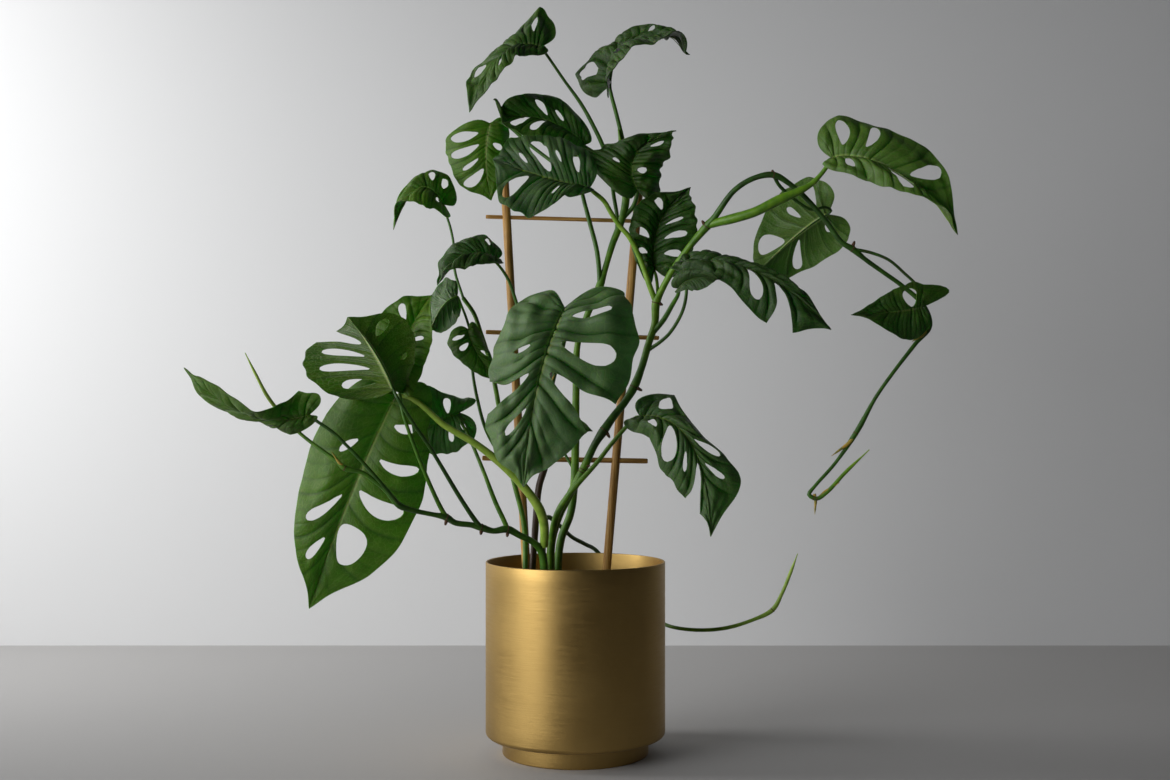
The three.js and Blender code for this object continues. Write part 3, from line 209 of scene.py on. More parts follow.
# The relief of a leaf whose crumple is 1: heights as shares of its length, and widths in cells or, for
# the groove over the midrib, as a share of the half.
PUFF, CREASE, RUFFLE, FOLD = 0.010, 0.006, 0.013, 0.028
VEIN_WIDTH, SECOND_WIDTH, GROOVE_WIDTH = 0.07, 0.045, 0.035
MARGIN_WAVE = 0.07            # how uneven a margin is, as a share of the half's width
KEEL_STOPS, KEEL_END = 12, 0.96  # the rings of the keel under a midrib, and where it ends

# look is (tone, sheen, crumple, stalk): tone runs from deep green to light green and is partly painted light,
# set light on backlit leaves and dark on shaded ones; sheen is a painted greyish sheen; crumple is how
# strongly the leaf is puckered, where 1 is usual, and stalk is how fresh its stalk is.
# midrib, left, right and petiole are places, left and right as seen on the upper face with the tip up.
# holes are listed for the left half, then the right: (cell, from, to, width) says between which side
# veins a hole lies, its reach from midrib to margin, and its share of the cell. A reach past 1 is open.
# sweep, for each half, is the cell whose margin is drawn out towards the tip, and by what share of the
# length. curl is how far the tip is carried off the midrib's own curve, across, up and back, in mm.
LEAVES = {
    "leaf_01": dict(
        look=(0.2, 0.1, 1.3, 0.5), camber=3, lobes=(1, 1.5),
        midrib=[(-29, 590, 2), (-60, 584, -10), (-87, 540, -22)],
        left=[(-44, 583, -20), (-55, 577, -32), (-68, 557, -34)],
        right=[(-36, 616, 22), (-60, 591, 20), (-84, 568, 4)],
        holes=[[(3, 0.3, 0.7, 0.4)], [(1, 0.3, 0.7, 0.32), (4, 0.3, 0.8, 0.5)]],
        petiole=[
            (-26, 586, 3, 1.2), (-10, 563, 6, 1.3), (5, 542, 8, 1.6), (15, 524, 9, 1.8), (23, 507, 10, 1.9),
            (29, 488, 12, 1.9), (32, 466, 10, 1.7), (35, 445, 9.4, 1.7), (33, 428, 9, 1.7),
            (27, 412, 7, 1.8), (20.5, 389, 1, 1.8),
        ],
    ),
    "leaf_02": dict(
        look=(0, 0, 1.7, 0.5), camber=3, curl=(-5, -12, 0),
        midrib=[(28, 557, -4), (45, 592, -18), (96, 597, -40)],
        left=[(7, 573, 12), (30, 593, 4), (62, 605, -14)],
        right=[(34, 572, -44), (47, 585, -50), (72, 595, -56)],
        holes=[[(1, 0.3, 0.85, 0.75), (4, 0.3, 0.7, 0.3)], [(2, 0.3, 0.7, 0.4)]],
        petiole=[
            (30, 550, -2, 1.6), (34, 535, 0, 1.7), (39, 514, 3, 1.9), (41.5, 498, 3, 2), (42, 482, 2, 2),
        ],
    ),
    "leaf_03": dict(
        look=(0.2, 0, 1.2, 0.5), camber=4, curl=(2, 17, 6),
        midrib=[(8, 508, 16), (-26, 529, 10), (-68, 531, 0)],
        left=[(-8, 503, 2), (-27, 512, -8), (-53, 518, -12)],
        right=[(-8, 542, 26), (-26, 549, 22), (-52, 545, 12)],
        holes=[[(3, 0.2, 0.8, 0.5), (4, 0.15, 0.8, 0.6)], [(2, 0.15, 0.45, 0.5), (3, 0.15, 0.6, 0.45)]],
        petiole=[(18, 500, 18, 1.6), (28, 490, 20, 1.7), (36, 478, 15, 1.8), (42, 466, 3, 1.8)],
    ),
    "leaf_04": dict(
        look=(0.1, 0.6, 1.5, 0.78),
        midrib=[(12, 472, -24), (-25, 481, -34), (-66, 495, -34)],
        left=[(-14, 462, -46), (-34, 450, -52), (-60, 456, -48)],
        right=[(-7, 511, -16), (-26, 515, -18), (-52, 511, -22)],
        holes=[
            [(2, 0.3, 0.55, 0.2), (4, 0.2, 0.85, 0.65)],
            [(1, 0.25, 0.6, 0.4), (2, 0.35, 0.6, 0.2), (2.9, 0.12, 0.85, 0.9), (4, 0.25, 0.5, 0.25)],
        ],
        petiole=[
            (16, 468, -23, 1.8), (24, 461, -21, 1.9), (30, 451, -20, 2), (36.5, 441, -19, 2),
            (45, 431, -18, 2.1), (52.5, 416.5, -17, 2.1), (57.5, 404, -17, 2.2), (62.5, 389, -17, 2.3),
            (67.5, 376, -17, 2.4),
        ],
    ),
    "leaf_05": dict(
        look=(0.75, 0, 0.8, 0.5), camber=4,
        midrib=[(-71, 526, 34), (-75, 498, 32), (-71, 464, 34)],
        left=[(-56, 514, 44), (-57, 500, 44), (-60, 482, 42)],
        right=[(-108, 508, 36), (-105, 492, 36), (-96, 474, 36)],
        holes=[
            [(2, 0.3, 0.7, 0.5)],
            [(1, 0.25, 0.88, 0.68), (2, 0.22, 0.9, 0.62), (3, 0.25, 0.7, 0.35), (4, 0.15, 0.88, 0.75)],
        ],
        petiole=[
            (-60, 526, 35, 1.5), (-38, 508, 33, 1.6), (-12, 488, 26, 1.6), (3, 474, 12, 1.7),
            (8, 458, 5, 1.8), (12, 443, 1, 1.9), (18, 419, -2, 2), (20, 400, -1, 2), (20, 388, 0, 2),
        ],
    ),
    "leaf_06": dict(
        look=(0.6, 0, 1, 0.5), camber=3,
        midrib=[(-110, 458, 18), (-131, 472, 6), (-151, 441, 0)],
        left=[(-120, 455, -4), (-128, 457, -10), (-143, 460, -8)],
        right=[(-109, 484, 24), (-124, 485, 22), (-143, 466, 10)],
        holes=[[(1, 0.3, 0.6, 0.4)], [(1, 0.3, 0.75, 0.5), (2, 0.3, 0.75, 0.5)]],
        petiole=[
            (-109, 452, 20, 1), (-105, 440, 18, 1.1), (-102, 425, 15, 1.1), (-101, 403, 12, 1.2),
            (-94, 380, 5, 1.2),
        ],
    ),
    "leaf_07": dict(
        look=(0, 0, 2.7, 0.5), camber=6, lobes=(2, 1), wave=2,
        midrib=[(52, 470, -6), (50, 500, -18), (81, 519, -26)],
        left=[(6, 503, -12), (22, 507, -14), (46, 514, -16)],
        right=[(69, 478, -2), (73, 490, -8), (80, 508, -20)],
        holes=[[(2, 0.3, 0.5, 0.3)], [(2, 0.2, 0.5, 0.5), (4, 0.3, 0.7, 0.4)]],
        petiole=[(51, 464, -4, 1.8), (48, 456, 0, 1.9), (41, 448, 2, 1.9)],
    ),
    "leaf_08": dict(
        look=(0, 0, 1.6, 0.6), lobes=(2, 1),
        midrib=[(66, 404, -2), (70, 442, 2), (94, 471, -8)],
        left=[(47, 424, -4), (46, 444, -6), (60, 465, -8)],
        right=[(97, 420, -4), (101, 440, -2), (98, 460, -4)],
        holes=[
            [(1, 0.3, 0.7, 0.3), (2, 0.25, 0.75, 0.5), (4, 0.25, 0.75, 0.4)],
            [(1, 0.3, 0.75, 0.4), (2, 0.25, 0.75, 0.45), (3, 0.2, 0.6, 0.3)],
        ],
        petiole=[(67.5, 398, -6, 1.4), (68.5, 391, -12, 1.4), (69, 380, -17.5, 1.5)],
    ),
    "leaf_09": dict(
        look=(0, 0.1, 1.3, 0.5), camber=4, lobes=(0.6, 0.6),
        midrib=[(90, 408, -38), (150, 403, -54), (210, 358, -62)],
        left=[(116, 417, -30), (144, 410, -38), (180, 393, -48)],
        right=[(106, 400, -54), (134, 383, -64), (166, 355, -66)],
        holes=[[(2, 0.3, 0.6, 0.4)], [(1, 0.3, 0.5, 0.3), (3, 0.1, 0.75, 0.55), (4, 0.15, 1.1, 0.5)]],
        petiole=[
            (91, 400, -38, 1.4), (93, 388, -36, 1.4), (90, 370, -33, 1.4), (80, 352, -27, 1.5),
            (72, 344, -21, 1.5), (62, 337, -15, 1.6),
        ],
    ),
    "leaf_10": dict(
        look=(0.95, 0.45, 0.8, 0.4), lobes=(2, 1.5),
        midrib=[(211, 450, -24), (184, 431, -18), (153, 402, -18)],
        left=[(187, 478, -8), (164, 458, -4), (150, 424, -8)],
        right=[(221, 421, -12), (200, 407, -8), (172, 397, -10)],
        holes=[
            [(1, 0.3, 0.85, 0.55), (2, 0.3, 0.65, 0.3), (3.8, 0.1, 0.86, 1)],
            [(1, 0.2, 0.45, 0.3), (3, 0.15, 0.85, 0.5)],
        ],
        petiole=[
            (214, 453, -27, 1.1), (209, 456, -32, 1.1), (198, 454, -34, 1.2), (188, 459, -36, 1.3),
            (178, 467, -40, 1.4), (170, 475, -46, 1.5), (166, 483, -52, 1.6),
        ],
    ),
    "leaf_11": dict(
        look=(0.75, 0.2, 1, 0.68), curl=(-2, -4, 0),
        midrib=[(214, 497, -66), (262, 489, -80), (318, 442, -84)],
        left=[(228, 529, -56), (262, 519, -62), (301, 492, -72)],
        right=[(238, 481, -86), (264, 471, -92), (298, 457, -92)],
        holes=[
            [(1, 0.2, 0.82, 0.45), (2, 0.25, 0.8, 0.36), (4, 0.15, 0.88, 0.5)],
            [(1, 0.3, 0.65, 0.4), (3, 0.15, 0.8, 0.6), (4, 0.3, 0.7, 0.3)],
        ],
        petiole=[
            (213, 494, -65, 1.7), (206, 484, -63, 1.8), (197, 475, -61, 2.2), (186, 469, -60, 3.2),
            (170, 462, -58, 3.9), (150, 452, -54, 3.8), (130, 446, -46, 3.9), (118, 443, -38, 3.4),
            (110, 440, -34, 2.6),
        ],
    ),
    "leaf_12": dict(
        look=(0.15, 0, 1, 0.33), camber=3, lobes=(1, 5),
        midrib=[(290, 372, -60), (264, 368, -68), (233, 366, -74)],
        left=[(285, 347, -62), (272, 347, -68), (251, 357, -74)],
        right=[(281, 392, -58), (267, 387, -62), (250, 376, -68)],
        holes=[[], [(1.45, 0.12, 0.78, 1.05)]],
        petiole=[
            (291, 378, -56, 1.2), (286, 390, -52, 1.2), (275, 401, -50, 1.2), (262, 412, -50, 1.2),
            (247, 418, -48, 1.3), (232, 421, -46, 1.4),
        ],
    ),
    "leaf_13": dict(
        look=(0.2, 0.35, 1.3, 0.66), camber=6, lobes=(0.7, 1),
        midrib=[(54, 281, -40), (96, 260, -54), (113, 187, -54)],
        left=[(86, 291, -34), (107, 264, -44), (134, 232, -42)],
        right=[(65, 256, -50), (76, 232, -52), (95, 209, -46)],
        holes=[
            [(1, 0.25, 0.8, 0.5), (3, 0.25, 0.85, 0.5), (4, 0.2, 0.6, 0.3)],
            [(1, 0.25, 0.6, 0.4), (2, 0.12, 0.88, 0.8), (3, 0.3, 0.6, 0.3), (4, 0.15, 1.1, 0.6)],
        ],
        petiole=[
            (51, 280, -39, 1.6), (32, 260, -35, 1.8), (17, 241, -31, 1.9), (-4, 217.5, -27, 2.4),
            (-14, 202, -24, 2.7), (-18, 190, -19, 2.8), (-20, 176, -14, 2.8),
        ],
    ),
    "leaf_14": dict(
        look=(0.6, 1, 1.9, 0.4), camber=7, sweep=[(3, 0.17), (0, 0)],
        midrib=[(-9, 372, -62), (-31, 312, -86), (-43, 228, -80)],
        left=[(49, 361, -58), (44, 322, -60), (-4, 257, -72)],
        right=[(-61, 352, -64), (-72, 312, -68), (-70, 262, -72)],
        holes=[
            [(1, 0.2, 0.75, 0.25), (2, 0.15, 0.8, 0.46), (3, 0.15, 1.1, 0.42)],
            [(1.9, 0.3, 0.6, 0.16), (2.85, 0.25, 1.1, 0.34), (3.9, 0.2, 0.65, 0.3)],
        ],
        petiole=[
            (-9, 368, -58, 1.8), (-8, 354, -44, 1.9), (-11, 338, -28, 1.9), (-16, 322, -14, 2),
            (-21, 302, -8, 2),
        ],
    ),
    "leaf_15": dict(
        look=(0.55, 0, 0.7, 0.36),
        midrib=[(-152, 303, -86), (-167, 333, -94), (-189, 362, -90)],
        left=[(-138, 318, -76), (-134, 342, -76), (-150, 366, -82)],
        right=[(-214, 306, -82), (-228, 326, -82), (-212, 347, -84)],
        holes=[
            [(2, 0.5, 0.75, 0.3), (4, 0.3, 0.8, 0.5)],
            [(1, 0.2, 0.75, 0.5), (2, 0.2, 0.8, 0.5), (3, 0.2, 0.75, 0.5), (4, 0.2, 1.1, 0.6)],
        ],
        petiole=[
            (-150, 298, -90, 1.3), (-136, 275.5, -86, 1.4), (-121, 253.5, -76, 1.5), (-96, 212, -58, 1.8),
            (-84, 194, -50, 2), (-79, 188, -45, 2),
        ],
    ),
    "leaf_16": dict(
        look=(0.72, 0, 0.42, 0.92), camber=7,
        midrib=[(-151, 297, -50), (-189, 213, -48), (-221, 126, -42)],
        left=[(-124, 262, -42), (-126, 222, -36), (-156, 166, -32)],
        right=[(-214, 270, -48), (-231, 220, -46), (-233, 170, -46)],
        holes=[
            [(1, 0.3, 0.75, 0.25), (2, 0.25, 0.85, 0.3), (3, 0.12, 0.8, 0.4), (4.1, 0.06, 0.58, 0.95)],
            [(1.5, 0.25, 0.52, 0.22), (3, 0.2, 0.75, 0.36), (4, 0.3, 0.75, 0.36)],
        ],
        petiole=[
            (-147, 298, -51, 2), (-134, 294, -53, 2.2), (-126, 288, -54, 2.3), (-111, 274.5, -54, 2.5),
            (-83, 257.5, -52, 2.9), (-65, 243.5, -48, 3.2), (-45, 224, -42, 3.5), (-30, 203, -36, 3.9),
            (-26, 188, -30, 3.8), (-26.5, 172, -25, 3.4),
        ],
    ),
    "leaf_17": dict(
        look=(0.45, 0.05, 1, 0.38), camber=4,
        midrib=[(-223, 282, -98), (-272, 283, -104), (-324, 318, -104)],
        left=[(-244, 268, -92), (-268, 279, -86), (-301, 293, -90)],
        right=[(-238, 296, -100), (-265, 288, -122), (-298, 308, -116)],
        holes=[[(2, 0.2, 0.6, 0.4)], [(3, 0.15, 0.5, 0.4)]],
        petiole=[
            (-218, 278, -98, 1.3), (-203, 267.5, -97, 1.3), (-192, 257, -96, 1.3),
            (-174.5, 238.5, -93, 1.4), (-156, 217, -83, 1.5), (-147, 206, -72, 1.6),
        ],
    ),
    "leaf_18": dict(
        look=(0.8, 0, 1, 0.56), camber=4,
        midrib=[(-147, 305, -68), (-142, 344, -58), (-122, 380, -54)],
        left=[(-170, 322, -62), (-172, 345, -56), (-152, 374, -54)],
        right=[(-130, 316, -68), (-122, 335, -66), (-119, 354, -64)],
        holes=[[(4, 0.3, 0.8, 0.4)], [(3, 0.3, 0.7, 0.3)]],
        petiole=[
            (-147, 300, -68, 1.3), (-145, 286, -70, 1.4), (-134, 253.5, -68, 1.5), (-121, 222, -62, 1.7),
            (-112, 203, -58, 1.9), (-108, 196.5, -56, 2),
        ],
    ),
    "leaf_19": dict(
        look=(0, 0.05, 1.7, 0.5), camber=4,
        midrib=[(-67, 411, -22), (-90, 415, -32), (-114, 393, -38)],
        left=[(-78, 409, -44), (-92, 406, -50), (-106, 400, -48)],
        right=[(-80, 432, -14), (-96, 428, -18), (-111, 411, -28)],
        holes=[[], [(1, 0.35, 0.65, 0.35)]],
        petiole=[
            (-64, 407, -21, 1.2), (-56, 395, -19, 1.3), (-50, 378, -17, 1.4), (-44, 358, -16, 1.5),
            (-34, 336, -14, 1.6), (-24, 316, -10, 1.7), (-21, 300, -8, 1.7),
        ],
    ),
    "leaf_20": dict(
        look=(0.25, 0.8, 1.6, 0.5), camber=3,
        midrib=[(-99, 381, -18), (-111, 373, -24), (-121, 354, -20)],
        left=[(-105, 397, -14), (-117, 390, -12), (-127, 366, -16)],
        right=[(-98, 365, -22), (-103, 357, -22), (-113, 351, -18)],
        holes=[[], []],
        petiole=[
            (-96, 375, -17, 1), (-91, 362, -14, 1.1), (-87, 346, -9, 1.2), (-86, 318, -10, 1.3),
            (-82, 295, -12, 1.4), (-75, 270, -12, 1.5), (-65, 252, -9, 1.5), (-57, 244, -7, 1.5),
        ],
    ),
    "leaf_21": dict(
        look=(0.5, 0, 1, 0.5), camber=3,
        midrib=[(-90, 354, -22), (-83, 335, -30), (-68, 312, -30)],
        left=[(-79, 349, -20), (-74, 338, -22), (-68, 322, -26)],
        right=[(-106, 340, -28), (-99, 329, -34), (-83, 316, -34)],
        holes=[[(3, 0.3, 0.7, 0.4)], [(1, 0.2, 0.8, 0.4), (2, 0.2, 0.7, 0.5)]],
        petiole=[(-87, 352, -20, 1), (-82, 347, -12, 1), (-79, 345, -4, 1.1), (-77.5, 343, 0, 1.1)],
    ),
    "leaf_22": dict(
        look=(0.3, 0.7, 1.4, 0.6), camber=6, lobes=(1, 2),
        midrib=[(-97, 284, -20), (-116, 276, -30), (-134, 262, -32)],
        left=[(-92, 257, -22), (-107, 250, -25), (-123, 252, -27)],
        right=[(-97, 296, -16), (-115, 303, -22), (-137, 304, -28)],
        holes=[[(1, 0.3, 0.6, 0.4), (2, 0.3, 0.7, 0.4)], [(2, 0.15, 0.8, 0.5)]],
        petiole=[
            (-97, 279, -24, 1.3), (-89, 263.5, -28, 1.4), (-77, 235, -34, 1.6), (-67, 209, -36, 1.9),
            (-60, 194, -37, 2), (-57, 187, -37, 2),
        ],
    ),
    "leaf_23": dict(
        look=(0.25, 0.1, 1, 0.5), camber=3,
        midrib=[(-17, 278, 18), (-4, 274, 16), (13, 269, 12)],
        left=[(-12, 282, 26), (-4, 280, 24), (6, 275, 18)],
        right=[(-14, 266, 12), (-6, 260, 10), (4, 262, 9)],
        holes=[[], []],
        petiole=[(-17, 274, 14, 1), (-14, 262, 8, 1.1), (-8, 248, 3, 1.2), (-1, 236, 0, 1.3)],
    ),
    "leaf_24": dict(
        look=(0, 0.1, 0.7, 0.5), camber=3,
        midrib=[(86, 388, -52), (100, 397, -60), (119, 396, -66)],
        left=[(88, 402, -56), (97, 404, -60), (111, 401, -64)],
        right=[(95, 387, -66), (102, 386, -68), (113, 390, -68)],
        holes=[[], []],
        petiole=[(86, 383, -46, 1.6), (81, 374, -36, 2), (74, 362, -26, 2.2), (66, 352, -15, 2.2)],
    ),
}


# ---------- Materials ----------
class Surface:
    """A Principled material whose patterns read Object coordinates or the piece's own attributes."""

    def __init__(self, name, colour, roughness, metallic=0.0, specular=0.5):
        self.material = bpy.data.materials.new(name)
        self.material.use_nodes = True
        self.nodes = self.material.node_tree.nodes
        self.links = self.material.node_tree.links
        self.shader = self.nodes["Principled BSDF"]
        self.shader.inputs["Base Color"].default_value = (*colour, 1)
        self.shader.inputs["Roughness"].default_value = roughness
        self.shader.inputs["Metallic"].default_value = metallic
        self.shader.inputs["Specular IOR Level"].default_value = specular

    def node(self, kind, **settings):
        made = self.nodes.new("ShaderNode" + kind)
        for key, value in settings.items():
            setattr(made, key, value)
        return made

    def mapped(self, vector, stretch):
        mapping = self.node("Mapping")
        mapping.inputs["Scale"].default_value = stretch
        self.links.new(vector, mapping.inputs["Vector"])
        return mapping.outputs["Vector"]

    def noise(self, scale, stretch=(1, 1, 1), detail=4, roughness=0.55):
        """Noise on Object coordinates. scale is in features a metre, before stretch."""
        texture = self.node("TexNoise")
        for name, number in (("Scale", scale), ("Detail", detail), ("Roughness", roughness)):
            texture.inputs[name].default_value = number
        self.links.new(self.mapped(self.node("TexCoord").outputs["Object"], stretch),
                       texture.inputs["Vector"])
        return texture.outputs["Fac"]

    def attribute(self, name):
        return self.node("Attribute", attribute_name=name).outputs["Fac"]

    def ramp(self, value, stops):
        """Colours between (position, colour) stops."""
        ramp = self.node("ValToRGB")
        elements = ramp.color_ramp.elements
        while len(elements) < len(stops):
            elements.new(0.5)
        for element, (position, colour) in zip(elements, stops):
            element.position = position
            element.color = (*colour, 1)
        self.links.new(value, ramp.inputs["Fac"])
        return ramp.outputs["Color"]

    def spread(self, value, low, high, out_low=0.0, out_high=1.0):
        spread = self.node("MapRange")
        for name, number in zip(("From Min", "From Max", "To Min", "To Max"), (low, high, out_low, out_high)):
            spread.inputs[name].default_value = number
        self.links.new(value, spread.inputs["Value"])
        return spread.outputs["Result"]

    def feed(self, socket, value):
        """Sets a socket to a number or colour, or links another node's output to it."""
        if isinstance(value, tuple):
            socket.default_value = (*value, 1)
        elif isinstance(value, (int, float)):
            socket.default_value = value
        else:
            self.links.new(value, socket)

    def maths(self, operation, first, second):
        made = self.node("Math", operation=operation)
        self.feed(made.inputs[0], first)
        self.feed(made.inputs[1], second)
        return made.outputs["Value"]

    def mix(self, share, first, second):
        made = self.node("Mix", data_type="RGBA")
        for name, value in (("Factor", share), ("A", first), ("B", second)):
            self.feed([s for s in made.inputs if s.name == name and s.enabled][0], value)
        return [s for s in made.outputs if s.enabled][0]

    def tint(self, base, mask, strength, colour):
        return self.mix(self.maths("MULTIPLY", mask, strength), base, colour)

    def bump(self, height, strength, distance):
        bump = self.node("Bump")
        bump.inputs["Strength"].default_value = strength
        bump.inputs["Distance"].default_value = distance
        self.links.new(height, bump.inputs["Height"])
        self.links.new(bump.outputs["Normal"], self.shader.inputs["Normal"])

    def glow(self, weight, radius, scale):
        """Light that passes through the flesh."""
        for name, value in (("Weight", weight), ("Radius", radius), ("Scale", scale)):
            self.shader.inputs["Subsurface " + name].default_value = value

    def colour_from(self, socket):
        self.links.new(socket, self.shader.inputs["Base Color"])

    def roughness_from(self, socket):
        self.links.new(socket, self.shader.inputs["Roughness"])


def brass_material():
    """Satin brass, brushed round the pot, with faint clouding."""
    brass = Surface("brass", (0.5, 0.33, 0.1), 0.36, metallic=1)
    grain = brass.noise(50, stretch=(1, 1, 15), detail=6, roughness=0.65)
    cloud = brass.noise(24, detail=3)
    brass.colour_from(brass.mix(cloud, (0.37, 0.237, 0.075), (0.46, 0.31, 0.108)))
    fine = brass.spread(grain, 0.3, 0.7, 0.38, 0.50)
    soft = brass.spread(cloud, 0.35, 0.65, -0.03, 0.03)
    brass.roughness_from(brass.maths("ADD", fine, soft))
    brass.bump(grain, 0.55, 0.16 * MM)
    return brass.material


def flecked_material(name, colour, roughness, specular, flecks, stops, strength, depth):
    """One fine noise, flecks, gives both the colour through stops and the bump."""
    surface = Surface(name, colour, roughness, specular=specular)
    grains = surface.noise(**flecks)
    surface.colour_from(surface.ramp(grains, stops))
    surface.bump(grains, strength, depth)
    return surface.material


def soil_material():
    """Dark, damp potting mix."""
    stops = [(0.3, (0.012, 0.008, 0.005)), (0.55, (0.045, 0.028, 0.017)), (0.75, (0.11, 0.075, 0.045))]
    flecks = dict(scale=420, detail=6, roughness=0.7)
    return flecked_material("soil", (0.04, 0.025, 0.015), 0.95, 0.2, flecks, stops, 0.7, 1.2 * MM)


def bamboo_material(name, stretch):
    """Dried bamboo, with streaks along the rod."""
    bamboo = Surface(name, (0.4, 0.24, 0.1), 0.5, specular=0.28)
    streaks = bamboo.noise(700, stretch=stretch, detail=4)
    patches = bamboo.noise(45, detail=3)
    fibre = bamboo.ramp(streaks, [(0.3, (0.19, 0.084, 0.017)), (0.5, (0.45, 0.238, 0.055)),
                                  (0.72, (0.60, 0.37, 0.115))])
    dark = bamboo.spread(patches, 0.5, 0.75, 0, 0.45)
    bamboo.colour_from(bamboo.mix(dark, fibre, (0.24, 0.13, 0.045)))
    bamboo.bump(streaks, 0.35, 0.25 * MM)
    return bamboo.material


def stem_material():
    """Smooth green bark. The attribute freshness takes it from brown to pale new growth."""
    stem = Surface("stem", (0.08, 0.16, 0.02), 0.42, specular=0.32)
    mottle = stem.noise(160, detail=4)
    uneven = stem.spread(mottle, 0.3, 0.7, -0.09, 0.09)
    age = stem.maths("ADD", stem.attribute("freshness"), uneven)
    stem.colour_from(stem.ramp(age, [(0.0, (0.055, 0.028, 0.016)), (0.18, (0.045, 0.035, 0.012)),
                                     (0.34, (0.020, 0.062, 0.008)), (0.55, (0.050, 0.145, 0.009)),
                                     (0.75, (0.135, 0.28, 0.014)), (1.0, (0.34, 0.48, 0.07))]))
    stem.bump(stem.noise(500, stretch=(1, 1, 0.3)), 0.15, 0.3 * MM)
    stem.glow(0.15, (0.5, 1.0, 0.2), 1 * MM)
    return stem.material


def bud_material():
    """Dry brown buds, leaf scars and root tips."""
    stops = [(0.35, (0.03, 0.014, 0.008)), (0.7, (0.15, 0.075, 0.03))]
    return flecked_material("bud", (0.06, 0.03, 0.015), 0.75, 0.3, dict(scale=700), stops, 0.5, 0.4 * MM)


def sheath_material():
    """Papery old sheaths, from straw to orange."""
    stops = [(0.35, (0.16, 0.17, 0.025)), (0.55, (0.42, 0.30, 0.05)), (0.75, (0.55, 0.28, 0.04))]
    return flecked_material("sheath", (0.4, 0.25, 0.06), 0.6, 0.3, dict(scale=260), stops, 0.3, 0.3 * MM)


def leaf_material(name, deep, light, painted_sheen, rib, roughness, through):
    """A leaf face, with painted shade in the creases along its veins. The map vein holds (cell, out); its
    tone, partly painted light, and a painted greyish sheen are set for each leaf.
    """
    leaf = Surface(name, light, roughness, specular=0.27)
    split = leaf.node("SeparateXYZ")
    vein_map = leaf.node("UVMap", uv_map="vein").outputs["UV"]
    leaf.links.new(vein_map, split.inputs["Vector"])
    cell, out = split.outputs["X"], split.outputs["Y"]
    primary = leaf.maths("PINGPONG", cell, 0.5)
    second = leaf.maths("PINGPONG", leaf.maths("MULTIPLY", cell, 3), 0.5)
    near_vein = leaf.spread(primary, 0.0, 0.07, 1, 0)
    near_second = leaf.spread(second, 0.0, 0.16, 1, 0)
    near_rib = leaf.spread(out, 0.024, 0.058, 1, 0)

    # The net between the veins, finer than a grain of rice.
    net = leaf.node("TexVoronoi", feature="DISTANCE_TO_EDGE")
    net.inputs["Scale"].default_value = 1.6
    leaf.links.new(leaf.mapped(vein_map, (5, 9, 1)), net.inputs["Vector"])
    netted = leaf.spread(net.outputs["Distance"], 0.0, 0.09, 1, 0)

    patches = leaf.spread(leaf.noise(38, detail=5), 0.3, 0.7, -0.22, 0.22)
    # The tone is partly the leaf's own and partly painted light: backlit leaves are set light and shaded ones
    # dark.
    tone_and_painted_light = leaf.maths("ADD", leaf.attribute("tone_and_painted_light"), patches)
    body = leaf.mix(leaf.spread(tone_and_painted_light, 0, 1), deep, light)
    # Painted sheen: a greyish cast mixed into the colour, as strongly as each leaf is set for.
    sheened = leaf.tint(body, leaf.attribute("painted_sheen"), 0.55, painted_sheen)
    # Painted shade: darker in the creases along the side veins.
    crease_shaded = leaf.tint(sheened, near_vein, 0.42, deep)
    netted_colour = leaf.tint(crease_shaded, netted, 0.12, rib)
    # Painted shade: darker in the creases along the second veins.
    second_crease_shaded = leaf.tint(netted_colour, near_second, 0.22, deep)
    # The midrib is palest on the lightest leaves.
    paleness = leaf.spread(leaf.attribute("tone_and_painted_light"), 0, 1, 0.25, 0.95)
    leaf.colour_from(leaf.tint(second_crease_shaded, near_rib, paleness, rib))
    leaf.roughness_from(leaf.spread(leaf.noise(90, detail=3), 0.3, 0.7, roughness - 0.06,
                                    roughness + 0.08))
    sunken = leaf.maths("MAXIMUM", leaf.maths("MULTIPLY", near_second, 0.8),
                        leaf.maths("MULTIPLY", netted, 0.45))
    leathery = leaf.maths("MULTIPLY", leaf.noise(230, detail=3), 0.9)
    leaf.bump(leaf.maths("SUBTRACT", leathery, sunken), 0.5, 0.45 * MM)
    leaf.glow(through, (0.28, 1.0, 0.06), 3 * MM)
    return leaf.material


MATERIALS = {
    "brass": brass_material(),
    "soil": soil_material(),
    "upright": bamboo_material("bamboo_upright", (1, 1, 0.02)),
    "level": bamboo_material("bamboo_level", (0.02, 1, 1)),
    "stem": stem_material(),
    "bud": bud_material(),
    "sheath": sheath_material(),
    "leaf_top": leaf_material("leaf_top", (0.013, 0.037, 0.004), (0.082, 0.156, 0.003),
                              (0.138, 0.205, 0.115), (0.50, 0.58, 0.24), 0.34, 0.45),
    "leaf_under": leaf_material("leaf_under", (0.018, 0.048, 0.006), (0.088, 0.175, 0.007),
                                (0.14, 0.21, 0.12), (0.30, 0.40, 0.11), 0.5, 0.45),
}


# ---------- Making pieces ----------
def mesh_from(bm, name, materials):
    mesh = bpy.data.meshes.new(name)
    bm.to_mesh(mesh)
    bm.free()
    for material in materials:
        mesh.materials.append(material)
    return mesh


def put_in_scene(name, data):
    thing = bpy.data.objects.new(name, data)
    bpy.context.scene.collection.objects.link(thing)
    return thing


def finish_piece(name, bm, materials, node, sharp=40):
    """Turns a bmesh into the shown piece that stands for a CAD node."""
    mesh = mesh_from(bm, name, [MATERIALS[key] for key in materials])
    mesh.shade_smooth()
    mesh.set_sharp_from_angle(angle=math.radians(sharp))
    piece = put_in_scene(name, mesh)
    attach(piece, BODY)
    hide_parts(node)
    return piece


